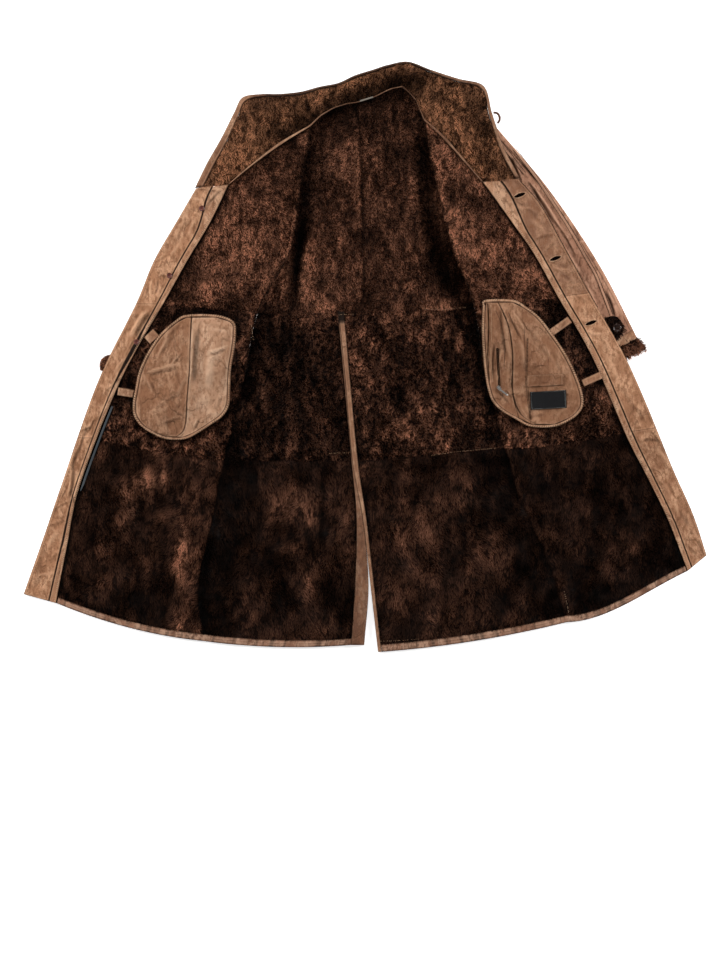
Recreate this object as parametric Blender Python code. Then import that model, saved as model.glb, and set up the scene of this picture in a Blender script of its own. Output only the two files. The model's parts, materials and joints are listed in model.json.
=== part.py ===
"""A knee-length shearling coat, laid open on its back with the pile side up.

Every skin is leather below and pile above, in one wall. The back lies on the surface, a flattened
sleeve lies on each side of it, and the two fronts and the collar lie over the sleeves and come down
to the surface round them. Left is -X and right is +X; +Y runs from the hem to the collar. Metres.
"""

from collections import namedtuple
from math import cos, pi, sin

import bmesh
import bpy
from mathutils import Vector

# Driving dimensions
GAP = 0.0003  # between neighbouring pieces
SKIN = 0.0085  # leather and pile together
SHORN = 0.0035  # the same skin where the facing covers it, its pile cut away
LEATHER = 0.002  # one layer of leather, as on a facing
BOUND = 0.004  # leather folded round an edge
HEM_HEIGHT = 0.0075  # leather folded round the hem
SLEEVE_HEIGHT = 0.017  # a sleeve pressed flat: two skins
SLEEVE_RUN = 0.09  # how far beyond a sleeve the skin over it comes down
END_STRETCH = 0.7  # beyond a sleeve's end it comes down over that run divided by this
OVER_SLEEVE = 0.0215  # underside of a front where it lies over a sleeve
OVER_BACK = 0.0105  # underside of a front where it laps over the back
LAP_REACH = 0.035  # how far that lap reaches from the fold
LAP_RUN = 0.055  # and how far beyond it the front comes down
HEM_ROWS = 0.115  # the hem band's share of the lowest row
ARMHOLE_GAP = 0.001  # at the curved armhole seam
CUFF_FUR_BULGE = 0.004  # how much the cuff's pile stands out at its sides
CUFF_FUR_LIFT = 0.25  # and the share of that by which each of its faces stands up
BUTTON_RADIUS = 0.011
BUTTON_HEIGHT = 0.003
COUNTER_RADIUS = 0.005
COUNTER_HEIGHT = 0.002
CUFF_BUTTON_RADIUS = 0.0075

# The cross lines of a front from the hem up: its outer edge, the facing's inner edge and the fold
# where it meets the back, and how far the line sags below its chord between the last two.
FrontRow = namedtuple("FrontRow", "name edge facing fold sag")
FRONT_LEFT = [
    FrontRow("hem", (-0.596, -0.414), (-0.538, -0.430), (-0.283, -0.496), 0.010),
    FrontRow("low", (-0.564, -0.323), (-0.519, -0.330), (-0.288, -0.384), 0.008),
    FrontRow("thigh", (-0.533, -0.232), (-0.500, -0.235), (-0.265, -0.276), 0.006),
    FrontRow("hip", (-0.501, -0.141), (-0.465, -0.141), (-0.246, -0.179), 0.005),
    FrontRow("pocket", (-0.456, -0.025), (-0.414, -0.022), (-0.213, -0.048), 0.002),
    FrontRow("waist", (-0.398, 0.092), (-0.349, 0.092), (-0.186, 0.078), 0.000),
    FrontRow("chest", (-0.367, 0.167), (-0.307, 0.167), (-0.132, 0.179), 0.000),
    FrontRow("shoulder", (-0.326, 0.237), (-0.267, 0.234), (-0.116, 0.267), 0.000),
    FrontRow("neck", (-0.295, 0.290), (-0.235, 0.300), (-0.094, 0.402), -0.005),
]
FRONT_RIGHT = [
    FrontRow("hem", (0.598, -0.346), (0.564, -0.374), (0.354, -0.463), 0.012),
    FrontRow("low", (0.575, -0.276), (0.529, -0.284), (0.321, -0.358), 0.010),
    FrontRow("thigh", (0.543, -0.204), (0.491, -0.206), (0.272, -0.249), 0.006),
    FrontRow("hip", (0.508, -0.123), (0.452, -0.132), (0.244, -0.157), 0.005),
    FrontRow("pocket", (0.454, -0.001), (0.393, 0.003), (0.209, -0.022), 0.002),
    FrontRow("waist", (0.391, 0.111), (0.335, 0.104), (0.192, 0.085), 0.000),
    FrontRow("chest", (0.346, 0.193), (0.295, 0.176), (0.155, 0.188), 0.000),
    FrontRow("shoulder", (0.307, 0.263), (0.256, 0.232), (0.129, 0.284), 0.000),
    FrontRow("neck", (0.270, 0.307), (0.204, 0.304), (0.104, 0.412), -0.003),
]
SAG_SKEW = 0.8  # the right front sags more beside the fold than beside the facing
HEM, HIP, WAIST, CHEST, NECK = 0, 3, 5, 6, 8  # row numbers of the seams across the coat

# The vent on the same rows, from the hem to the waist: the bound slip edge on the left panel, then
# the binding on the right panel's edge.
VentRow = namedtuple("VentRow", "name y_left slip_from slip_to bound_from bound_to y_right sag")
VENT = [
    VentRow("hem", -0.503, -0.0236, -0.0009, 0.0236, 0.0298, -0.515, 0.007),
    VentRow("low", -0.395, -0.0166, 0.0067, 0.0100, 0.0166, -0.396, 0.004),
    VentRow("thigh", -0.282, -0.0140, -0.0035, -0.0030, 0.0032, -0.282, 0.002),
    VentRow("hip", -0.179, -0.0230, -0.0217, -0.0212, -0.0117, -0.180, 0.000),
    VentRow("pocket", -0.048, -0.0350, -0.0335, -0.0330, -0.0245, -0.046, 0.000),
    VentRow("waist", 0.0805, -0.0470, -0.0455, -0.0450, -0.0360, 0.0803, 0.000),
]

# The upper back above the waist seam: its centre seam and, under the fronts, its side and armhole.
BackRow = namedtuple("BackRow", "name left centre right")
BACK = [
    BackRow("waist", (-0.186, 0.078), (0.003, 0.0815), (0.192, 0.085)),
    BackRow("chest", (-0.197, 0.167), (-0.003, 0.167), (0.202, 0.167)),
    BackRow("shoulder", (-0.176, 0.276), (-0.006, 0.276), (0.179, 0.276)),
    BackRow("neck", (-0.213, 0.381), (-0.010, 0.445), (0.228, 0.403)),
]
# Its top line: the neck from the centre to the fold, then the shoulder seam out to the armhole.
TOP_LEFT = [(-0.010, 0.445), (-0.030, 0.442), (-0.053, 0.434), (-0.076, 0.420),
            (-0.094, 0.402), (-0.153, 0.392), (-0.213, 0.381)]
TOP_RIGHT = [(-0.010, 0.445), (0.020, 0.455), (0.046, 0.468), (0.068, 0.472),
             (0.090, 0.447), (0.104, 0.412), (0.166, 0.409), (0.228, 0.403)]
NECK_STOPS = {"left": 4, "right": 5}  # where on those lines the fold stands

# The collar's rim opposite points of the neck line, from the left facing round to the right one,
# and the width of its leather edge band there.
RimRow = namedtuple("RimRow", "rim band")
RIM = [
    RimRow((-0.295, 0.294), 0.016), RimRow((-0.274, 0.337), 0.016), RimRow((-0.249, 0.381), 0.014),
    RimRow((-0.228, 0.425), 0.012), RimRow((-0.213, 0.454), 0.010), RimRow((-0.180, 0.460), 0.006),
    RimRow((-0.148, 0.460), 0.005), RimRow((-0.110, 0.464), 0.005), RimRow((-0.078, 0.473), 0.004),
    RimRow((-0.045, 0.480), 0.004), RimRow((-0.017, 0.493), 0.004), RimRow((0.015, 0.503), 0.004),
    RimRow((0.040, 0.511), 0.004), RimRow((0.076, 0.517), 0.004), RimRow((0.115, 0.503), 0.004),
    RimRow((0.164, 0.487), 0.005), RimRow((0.208, 0.474), 0.006), RimRow((0.221, 0.428), 0.007),
    RimRow((0.230, 0.399), 0.007), RimRow((0.243, 0.362), 0.007), RimRow((0.270, 0.311), 0.007),
]

# A sleeve from the armhole to the wrist: its outer and inner edges as it lies flat.
SleeveRow = namedtuple("SleeveRow", "outer inner")
SLEEVE_LEFT = [
    SleeveRow((-0.213, 0.381), (-0.197, 0.167)), SleeveRow((-0.262, 0.262), (-0.222, 0.095)),
    SleeveRow((-0.322, 0.154), (-0.260, 0.022)), SleeveRow((-0.444, 0.000), (-0.336, -0.066)),
]
SLEEVE_RIGHT = [
    SleeveRow((0.228, 0.403), (0.202, 0.167)), SleeveRow((0.322, 0.293), (0.220, 0.101)),
    SleeveRow((0.412, 0.158), (0.272, 0.031)), SleeveRow((0.484, 0.018), (0.368, -0.040)),
]
SLEEVE_END, CUFF_END, TRIM_END = 0.93, 0.965, 1.045  # shares of that length
TAB_ACROSS = [0.10, 0.17, 0.25]  # the slit tab's stops, as shares of the sleeve's width
TAB_ALONG = [0.835, 0.88, 0.925]  # and of its length
SEAM_TURN = 0.012  # half the gap at that seam, as an angle
SLEEVE_SEAM = 2.62  # angle round the section, from its inner edge, of the seam beside its outer edge

# Pocket bags: cross lines from the top down, the seam between the two skins, and the edges.
BagRow = namedtuple("BagRow", "y left seam right")
BAG_LEFT = [
    BagRow(0.073, -0.309, -0.300, -0.258), BagRow(0.062, -0.330, -0.301, -0.228),
    BagRow(0.041, -0.354, -0.302, -0.223), BagRow(0.013, -0.374, -0.303, -0.226),
    BagRow(-0.022, -0.391, -0.304, -0.232), BagRow(-0.057, -0.399, -0.307, -0.234),
    BagRow(-0.083, -0.403, -0.309, -0.236), BagRow(-0.103, -0.401, -0.310, -0.247),
    BagRow(-0.121, -0.389, -0.312, -0.272), BagRow(-0.135, -0.368, -0.317, -0.294),
    BagRow(-0.144, -0.345, -0.328, -0.315),
]
BAG_RIGHT = [
    BagRow(0.099, 0.210, 0.232, 0.258), BagRow(0.087, 0.205, 0.237, 0.281),
    BagRow(0.069, 0.204, 0.245, 0.304), BagRow(0.041, 0.204, 0.253, 0.326),
    BagRow(0.010, 0.206, 0.257, 0.347), BagRow(-0.022, 0.209, 0.258, 0.364),
    BagRow(-0.053, 0.214, 0.258, 0.376), BagRow(-0.078, 0.223, 0.262, 0.381),
    BagRow(-0.095, 0.240, 0.268, 0.376), BagRow(-0.109, 0.264, 0.278, 0.361),
    BagRow(-0.122, 0.290, 0.300, 0.332),
]
BAG_BINDING = 0.005
BAG_WALL = 0.0035  # both layers of a bag
BAG_CLEAR = 0.002  # a bag above the pile it lies on
ON_BAG_CLEAR = 0.0012  # and what lies on a bag above it

# What lies flat on something: its middle, its length and width, and the turn of its length from +X.
Strip = namedtuple("Strip", "x y length width turn")
STRAPS = {
    "strap_left_upper": Strip(-0.3700, 0.0350, 0.017, 0.016, 0.75),
    "strap_left_lower": Strip(-0.4145, -0.0625, 0.020, 0.014, -0.16),
    "strap_right_upper": Strip(0.3440, 0.0550, 0.022, 0.014, 0.75),
    "strap_right_lower": Strip(0.3970, -0.0385, 0.022, 0.013, 0.42),
}
ZIP_TAPE = Strip(0.2330, -0.0180, 0.064, 0.010, -1.51)
ZIP_WALL = 0.0015
ZIP_SLIDER = Strip(0.2370, -0.0560, 0.012, 0.006, -0.9)
PEN_WELT = Strip(0.3140, -0.0410, 0.062, 0.014, 0.05)
LABEL = Strip(0.3200, -0.0750, 0.062, 0.030, 0.05)
HANGER = Strip(0.0020, 0.4560, 0.020, 0.004, 0.3)
TAPE_ROWS = (2, 3.5)
BUTTONS = [(-0.283, 0.258), (-0.339, 0.141), (-0.3965, 0.0255)]
LOOP_ROUTE = [(0.2248, 0.4255), (0.2310, 0.4242), (0.2348, 0.4185), (0.2350, 0.4120), (0.2318, 0.4070)]
LOOP_RADIUS = 0.0013
MIDDLE = Vector((0.001, 0.001, 0))  # the middle of the coat's outline, which becomes the origin

FINISHES = {  # colour, roughness, metallic
    "fur": ((0.040, 0.018, 0.010), 0.85, 0.0),
    "collar_fur": ((0.065, 0.030, 0.014), 0.85, 0.0),
    "leather": ((0.400, 0.235, 0.145), 0.62, 0.0),
    "binding": ((0.440, 0.270, 0.175), 0.60, 0.0),
    "tape": ((0.200, 0.220, 0.240), 0.80, 0.0),
    "label": ((0.015, 0.015, 0.020), 0.70, 0.0),
    "button": ((0.060, 0.020, 0.012), 0.35, 0.0),
    "metal": ((0.600, 0.600, 0.620), 0.30, 1.0),
}

for old in list(bpy.data.objects):
    bpy.data.objects.remove(old)
coat = bpy.data.collections.new("shearling_coat")
bpy.context.scene.collection.children.link(coat)


def spline(values, at):
    """A smooth curve through numbers or vectors one apart, read at a place that may lie between."""
    last = len(values) - 1
    i = min(max(int(at), 0), last - 1)
    t = at - i
    here, after = values[i], values[i + 1]
    before = values[i - 1] if i > 0 else here * 2 - after
    beyond = values[i + 2] if i + 2 <= last else after * 2 - here
    return (here * 2 + (after - before) * t + (before * 2 - here * 5 + after * 4 - beyond) * t ** 2
            + (here * 3 - before - after * 3 + beyond) * t ** 3) * 0.5


def column(rows, name):
    return [Vector(getattr(row, name)) for row in rows]


def smooth(t):
    t = min(max(t, 0.0), 1.0)
    return t * t * (3 - 2 * t)


def stops(first, last, count):
    return [first + (last - first) * i / count for i in range(count + 1)]


def outside(point, line):
    """How far a point lies outside a band: line is a list of (middle, half width)."""
    nearest = 1.0
    last = len(line) - 2
    for i, ((a, wide_a), (b, wide_b)) in enumerate(zip(line, line[1:])):
        run = b - a
        share = (point - a).dot(run) / run.length_squared
        t = min(max(share, 0.0), 1.0)
        away = point - a - run * t
        if i == last and share > 1:
            away -= run * (share - 1) * (1 - END_STRETCH)
        nearest = min(nearest, away.length - wide_a - (wide_b - wide_a) * t)
    return nearest


def sleeve_band(rows):
    return [((Vector(r.outer) + Vector(r.inner)) / 2, (Vector(r.outer) - Vector(r.inner)).length / 2)
            for r in rows]


def lap_band(rows, armhole):
    fold = [(Vector(row.fold), LAP_REACH) for row in rows[WAIST:]]
    return fold + [(Vector(armhole), LAP_REACH)]


BELOW = [  # what the fronts and the collar lie over: a band, the height over it and the run down
    (sleeve_band(SLEEVE_LEFT), OVER_SLEEVE, SLEEVE_RUN),
    (sleeve_band(SLEEVE_RIGHT), OVER_SLEEVE, SLEEVE_RUN),
    (lap_band(FRONT_LEFT, TOP_LEFT[-1]), OVER_BACK, LAP_RUN),
    (lap_band(FRONT_RIGHT, TOP_RIGHT[-1]), OVER_BACK, LAP_RUN),
]


def lay(point):
    """Height of the underside of the fronts and the collar above the surface."""
    point = Vector(point[:2])
    total = sum((height * (1 - smooth(outside(point, band) / run))) ** 4 for band, height, run in BELOW)
    return total ** 0.25


# Panels: closed walls between two faces, each a function of two coordinates


def panel(name, finish, across, along, under, over):
    """The wall between two faces over a grid of stops across and along."""
    mesh = bmesh.new()
    bmesh.ops.create_grid(mesh, x_segments=len(across) - 1, y_segments=len(along) - 1, size=0.5)
    low = mesh.verts[:]
    made = bmesh.ops.extrude_face_region(mesh, geom=mesh.faces[:])
    high = [item for item in made["geom"] if isinstance(item, bmesh.types.BMVert)]
    for face, corners in ((under, low), (over, high)):
        for corner in corners:
            i = round((corner.co.x + 0.5) * (len(across) - 1))
            j = round((corner.co.y + 0.5) * (len(along) - 1))
            corner.co = Vector(face(across[i], along[j])) - MIDDLE
    bmesh.ops.recalc_face_normals(mesh, faces=mesh.faces[:])
    if mesh.calc_volume(signed=True) < 0:
        bmesh.ops.reverse_faces(mesh, faces=mesh.faces[:])
    return place(name, finish, mesh)


def place(name, finish, mesh):
    data = bpy.data.meshes.new(name)
    mesh.to_mesh(data)
    mesh.free()
    part = bpy.data.objects.new(name, data)
    coat.objects.link(part)
    paint(part, finish)
    return part


def paint(part, finish):
    colour, roughness, metallic = FINISHES[finish]
    material = bpy.data.materials.new(part.name)
    material.use_nodes = True
    shader = material.node_tree.nodes["Principled BSDF"]
    shader.inputs["Base Color"].default_value = (*colour, 1)
    shader.inputs["Roughness"].default_value = roughness
    shader.inputs["Metallic"].default_value = metallic
    material.diffuse_color = (*colour, 1)
    part.data.materials.append(material)


def wall(plan, floor, thickness):
    """The two faces of a skin: thickness may be a number or a function of the coordinates."""
    def under(a, b):
        point = plan(a, b)
        return (*point, floor(point))

    def over(a, b):
        point = plan(a, b)
        tall = thickness(a, b) if callable(thickness) else thickness
        return (*point, floor(point) + tall)

    return under, over


def ground(point):
    return 0.0


def inset(values, first, last):
    """The stops with the outermost ones moved in by half a gap, on a grid of that real size."""
    return [values[0] + first, *values[1:-1], values[-1] - last]


# Fronts: across runs 0 to 1 over the facing, from the outer edge, and 1 to 2 from there to the fold


def front_plan(rows):
    edge, facing, fold = (column(rows, name) for name in ("edge", "facing", "fold"))
    sags = [row.sag for row in rows]
    skew = SAG_SKEW if rows is FRONT_RIGHT else 0

    def plan(across, at):
        if across <= 1:
            return spline(edge, at).lerp(spline(facing, at), across)
        u = across - 1
        point = spline(facing, at).lerp(spline(fold, at), u)
        point.y -= spline(sags, at) * 4 * u * (1 - u) * (1 + skew * (2 * u - 1))
        return point

    return plan


FACING_STOPS = [0.0, 0.38, 0.76]
BINDING_STOPS = [0.76, 0.985]
FUR_STOPS = stops(1.0, 2.0, 8)
FRONT_STOPS = [0.0, 0.38, 0.76, 0.988, *FUR_STOPS]
TIERS = {"lower": (HEM + HEM_ROWS, HIP), "middle": (HIP, WAIST), "upper": (WAIST, NECK)}
ROW_STEPS = {"lower": 2, "middle": 4, "upper": 3}  # steps from one row of a table to the next
HALF = GAP / 2
ROW_GAP = HALF / 0.09  # half a gap as a share of one row
FUR_GAP = HALF / 0.2  # and of a front's width


def row_stops(first, last):
    """Every stop of the tiers between two places on the rows, with half a gap left at each end."""
    found = [first]
    for tier, (start, end) in (("lower", (HEM, HIP)), ("middle", (HIP, WAIST)), ("upper", (WAIST, NECK))):
        count = (end - start) * ROW_STEPS[tier]
        found += [stop for stop in stops(start, end, count)[1:] if first < stop < last]
    return inset(found + [last], ROW_GAP, ROW_GAP)


def front_height(across, at):
    return SHORN if across < 1 else SKIN


def build_front(side, rows):
    plan = front_plan(rows)
    across = inset(FRONT_STOPS, 0, FUR_GAP)
    for tier, (first, last) in TIERS.items():
        under, over = wall(plan, lay, front_height)
        panel(f"front_{tier}_{side}", "fur", across, row_stops(first, last), under, over)
        on_shorn = wall(plan, lambda p: lay(p) + SHORN + GAP, LEATHER)
        along = row_stops(HEM if tier == "lower" else first, last)
        panel(f"facing_{tier}_{side}", "leather", inset(FACING_STOPS, 0, 0.005), along, *on_shorn)
    on_shorn = wall(plan, lambda p: lay(p) + SHORN + GAP, BOUND)
    panel(f"facing_binding_{side}", "binding", BINDING_STOPS, row_stops(HEM, NECK), *on_shorn)


# Back


def vent_line(x_name, y_name):
    return [Vector((getattr(row, x_name), getattr(row, y_name))) for row in VENT]


def back_plan(rows, x_name, y_name):
    """Across runs from the vent at 0 to the fold at 1, on the same rows as the front beside it."""
    centre, fold, sags = vent_line(x_name, y_name), column(rows, "fold"), [row.sag for row in VENT]

    def plan(across, at):
        point = spline(centre, at).lerp(spline(fold, at), across)
        point.y -= spline(sags, at) * 4 * across * (1 - across)
        return point

    return plan


def upper_plan(side, top):
    """Across runs from the centre seam at 0 to the armhole at 1; the top row follows the neck."""
    centre, outer = column(BACK, "centre"), column(BACK, side)
    line = [Vector(point) for point in top]
    waist, last = outer[0], len(BACK) - 1

    def plan(across, at):
        row = at - WAIST
        side_point = spline(outer, row)
        point = spline(centre, row).lerp(side_point, across)
        straight = centre[last].lerp(outer[last], across)
        return point + (top_point(line, across) - straight) * smooth(row - last + 1)

    return plan


def top_point(line, across):
    at = across * (len(line) - 1)
    i = min(int(at + 1e-6), len(line) - 2)
    return line[i].lerp(line[i + 1], at - i)


BACK_STOPS = stops(0.0, 1.0, 6)


def build_back(side, rows, vent_x, vent_y, top):
    plan = back_plan(rows, vent_x, vent_y)
    for tier in ("lower", "middle"):
        across = inset(BACK_STOPS, FUR_GAP, FUR_GAP)
        panel(f"back_{tier}_{side}", "fur", across, row_stops(*TIERS[tier]), *wall(plan, ground, SKIN))
    across = inset(stops(0.0, 1.0, len(top) - 1), FUR_GAP, FUR_GAP)
    upper = upper_plan(side, top)
    panel(f"back_upper_{side}", "fur", across, row_stops(*TIERS["upper"]), *wall(upper, ground, SKIN))


def build_vent():
    for name, first, last, y_name, finish in (
        ("vent_slip", "slip_from", "slip_to", "y_left", "binding"),
        ("vent_binding", "bound_from", "bound_to", "y_right", "binding"),
    ):
        one, other = vent_line(first, y_name), vent_line(last, y_name)

        def plan(across, at, one=one, other=other):
            return spline(one, at).lerp(spline(other, at), across)

        along = row_stops(HEM, WAIST)
        panel(name, finish, [0.02, 0.98], along, *wall(plan, ground, SKIN + 0.0005))


def build_hem(side, rows, vent_x, vent_y):
    """One band round the hem, from the front's outer edge to the vent."""
    front, back = front_plan(rows), back_plan(rows, vent_x, vent_y)

    def plan(across, at):
        return front(across, at) if across <= 2 else back(3 - across, at)

    def tall(across, at):
        return SHORN if across < 1 else HEM_HEIGHT

    across = FRONT_STOPS + [3 - stop for stop in reversed(BACK_STOPS[:-1])]
    along = [HEM, HEM + HEM_ROWS - ROW_GAP]
    panel(f"hem_band_{side}", "leather", inset(across, 0, 2 * FUR_GAP), along, *wall(plan, ground, tall))


# Collar: across runs along the neck from the left facing to the right one, along from neck to rim


def neck_points():
    """The neck line, on the very stops of the panels that end there."""
    left, right = front_plan(FRONT_LEFT), front_plan(FRONT_RIGHT)
    points = [left(stop, NECK) for stop in FUR_STOPS]
    points += [Vector(p) for p in reversed(TOP_LEFT[:NECK_STOPS["left"]])]
    points += [Vector(p) for p in TOP_RIGHT[1:NECK_STOPS["right"]]]
    return points + [right(stop, NECK) for stop in reversed(FUR_STOPS)]


NECK_LINE = neck_points()
NECK_CLEAR = 0.0006  # the collar stands this far off the neck line


def collar_plan(across, along):
    neck = NECK_LINE[across]
    rim = Vector(spline(column(RIM, "rim"), across * (len(RIM) - 1) / (len(NECK_LINE) - 1)))
    clear = NECK_CLEAR / (rim - neck).length
    return neck.lerp(rim, clear + (1 - clear) * along)


def band_share(across):
    width = spline([row.band for row in RIM], across * (len(RIM) - 1) / (len(NECK_LINE) - 1))
    return 1 - width / (collar_plan(across, 1) - collar_plan(across, 0)).length


def build_collar():
    around = list(range(len(NECK_LINE)))

    def fur(across, share):
        return collar_plan(across, share * (band_share(across) - 0.004))

    def band(across, share):
        return collar_plan(across, band_share(across) + share * (1 - band_share(across)))

    def strip(across, share):
        return collar_plan(across, share * 0.045)

    panel("collar", "collar_fur", around, stops(0, 1, 4), *wall(fur, lay, SKIN))
    panel("collar_edge", "leather", around, [0, 1], *wall(band, lay, SKIN - 0.001))
    on_collar = wall(strip, lambda p: lay(p) + SKIN + GAP, LEATHER)
    panel("neck_strip", "binding", around, [0, 1], *on_collar)


# Sleeves: round runs round the flattened section from its inner edge over the top, along down it

FLATNESS = 3.5  # exponent of the section: 2 is an ellipse, more is flatter
PRESS = 1.08  # the section is pressed against the surface by this much
POCKET_OF_AIR = 0.0002


def signed_power(value, power):
    return (abs(value) ** power) * (1 if value >= 0 else -1)


def sleeve_plan(rows, armhole, away):
    outer, inner = column(rows, "outer"), column(rows, "inner")

    def plan(share, along):
        """A point at a share of the width from the outer edge to the inner one."""
        head = armhole(share) + Vector((away * ARMHOLE_GAP, 0))
        points = [head] + [outer[i].lerp(inner[i], share) for i in range(1, len(rows))]
        return spline(points, along * (len(rows) - 1))

    return plan


def sleeve_faces(plan, bulge=None):
    """The outer and inner faces of a sleeve's wall at an angle round it."""
    half = SLEEVE_HEIGHT / 2

    def section(angle, along, inner):
        wide = signed_power(cos(angle), 2 / FLATNESS)
        tall = signed_power(sin(angle), 2 / FLATNESS)
        width = (plan(1, along) - plan(0, along)).length
        more = bulge(along) if bulge else 0.0
        if inner:
            reach = (width / 2 - SKIN) / (width / 2)
            height = half + (1 if tall >= 0 else -1) * (POCKET_OF_AIR + abs(tall) * POCKET_OF_AIR)
        else:
            reach = 1 + more / (width / 2)
            height = half + tall * half * PRESS
            height = min(max(height, 0.0), 2 * half) + more * CUFF_FUR_LIFT * (1 + tall)
        point = plan(0.5 + 0.5 * wide * reach, along)
        return (*point, height)

    return (lambda a, b: section(a, b, True)), (lambda a, b: section(a, b, False))


def build_sleeve(side, rows, top, away):
    upper = upper_plan(side, top)
    plan = sleeve_plan(rows, lambda share: upper(1, NECK - share * (NECK - CHEST)), away)
    inside, outsides = sleeve_faces(plan)
    end = 0.001
    along = stops(0.0, SLEEVE_END, 7)
    top_angles = [end, 0.15, 0.45, 0.9, 1.57, 2.1, SLEEVE_SEAM - SEAM_TURN]
    under_angles = [SLEEVE_SEAM + SEAM_TURN, 2.9, pi, 3.4, 3.8, 4.3, 4.9, 5.5, 6.0, 2 * pi - end]
    panel(f"sleeve_top_{side}", "leather", top_angles, along, inside, outsides)
    panel(f"sleeve_under_{side}", "leather", under_angles, along, inside, outsides)
    around = top_angles[:-1] + [SLEEVE_SEAM] + under_angles[1:]
    seam = 0.0015
    panel(f"cuff_band_{side}", "leather", around, [SLEEVE_END + seam, CUFF_END], inside, outsides)

    def puff(along):
        return CUFF_FUR_BULGE * sin(pi * min(max((along - CUFF_END) / (TRIM_END - CUFF_END), 0), 1))

    trim = stops(CUFF_END + seam, TRIM_END, 3)
    panel(f"cuff_fur_{side}", "fur", around, trim, *sleeve_faces(plan, puff))
    return plan


def build_cuff_tab(plan):
    """The pile that shows at the right sleeve's slit, and the button on it."""
    def floor(point):
        return SLEEVE_HEIGHT + GAP

    panel("cuff_tab", "fur", TAB_ACROSS, TAB_ALONG, *wall(plan, floor, LEATHER))
    centre = plan(TAB_ACROSS[1], TAB_ALONG[1])
    button("cuff_button", centre, SLEEVE_HEIGHT + LEATHER + 2 * GAP, CUFF_BUTTON_RADIUS, BUTTON_HEIGHT)


# Pocket bags, and what lies on them


def bag_loop(rows):
    """The bag's outline, down its left side and up its right, and the same moved in by the binding."""
    points = [Vector((row.left, row.y)) for row in rows] + [Vector((row.right, row.y)) for row in reversed(rows)]
    moved = []
    for i, point in enumerate(points):
        before, after = points[i - 1], points[(i + 1) % len(points)]
        run = (after - before).normalized()
        moved.append(point + Vector((-run.y, run.x)) * BAG_BINDING)
    return points, moved


def on_bag(point):
    return lay(point) + SKIN + BAG_CLEAR


def build_bag(side, rows, left_name, right_name):
    outline, inner = bag_loop(rows)
    count = len(rows)
    left, right = inner[:count], list(reversed(inner[count:]))
    seams = [Vector((row.seam, left[i].y * 0.5 + right[i].y * 0.5)) for i, row in enumerate(rows)]

    def half(one, other, shift_one, shift_other):
        def plan(share, i):
            run = (other[i] - one[i]).normalized()
            return (one[i] + run * shift_one).lerp(other[i] - run * shift_other, share)
        return plan

    clear = GAP + 0.0002
    along = list(range(count))
    first = half(left, seams, clear, HALF)
    second = half(seams, right, HALF, clear)
    panel(f"bag_{left_name}_{side}", "leather", stops(0, 1, 4), along, *wall(first, on_bag, BAG_WALL))
    panel(f"bag_{right_name}_{side}", "leather", stops(0, 1, 4), along, *wall(second, on_bag, BAG_WALL))
    closed = outline + [outline[0].lerp(outline[-1], 0.02)], inner + [inner[0].lerp(inner[-1], 0.03)]

    def ring(share, i):
        return closed[0][i].lerp(closed[1][i], share)

    around = list(range(len(closed[0])))
    panel(f"bag_binding_{side}", "binding", [0, 1], around, *wall(ring, on_bag, BAG_WALL + 0.0008))


def strip_plan(strip):
    along = Vector((cos(strip.turn), sin(strip.turn)))
    aside = Vector((-along.y, along.x))

    def plan(a, b):
        return Vector((strip.x, strip.y)) + along * strip.length * (a - 0.5) + aside * strip.width * (b - 0.5)

    return plan


def build_strips():
    for name, strip in STRAPS.items():
        panel(name, "leather", [0, 1], [0, 1], *wall(strip_plan(strip), on_bag, LEATHER))

    def top_of_bag(point):
        return on_bag(point) + BAG_WALL + ON_BAG_CLEAR

    panel("zip_tape", "metal", stops(0, 1, 3), [0, 1], *wall(strip_plan(ZIP_TAPE), top_of_bag, ZIP_WALL))

    def top_of_tape(point):
        return top_of_bag(point) + ZIP_WALL + ON_BAG_CLEAR

    panel("zip_slider", "metal", [0, 1], [0, 1], *wall(strip_plan(ZIP_SLIDER), top_of_tape, 0.003))
    panel("pen_welt", "leather", stops(0, 1, 4), [0, 1], *wall(strip_plan(PEN_WELT), top_of_bag, 0.0015))
    panel("label", "label", stops(0, 1, 4), [0, 0.5, 1], *wall(strip_plan(LABEL), top_of_bag, 0.0012))

    def top_of_strip(point):
        return lay(point) + SKIN + LEATHER + 3 * GAP

    panel("hanger_loop", "binding", [0, 1], [0, 1], *wall(strip_plan(HANGER), top_of_strip, LEATHER))
    front = front_plan(FRONT_LEFT)

    def taped(clear):
        def face(share, at):
            one, other = front(FUR_STOPS[0], at), front(FUR_STOPS[1], at)
            low, high = (Vector((*point, lay(point) + SKIN + clear)) for point in (one, other))
            return low.lerp(high, share)
        return face

    rows = [stop for stop in row_stops(HEM, NECK) if TAPE_ROWS[0] <= stop <= TAPE_ROWS[1]]
    panel("stay_tape", "tape", [0.04, 0.24], rows, taped(0.0006), taped(0.0014))


def button(name, point, base, radius, height):
    mesh = bmesh.new()
    bmesh.ops.create_cone(mesh, cap_ends=True, segments=14, radius1=radius, radius2=radius * 0.9, depth=height)
    bmesh.ops.translate(mesh, verts=mesh.verts[:], vec=Vector((*point, base + height / 2)) - MIDDLE)
    place(name, "button", mesh)


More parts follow.
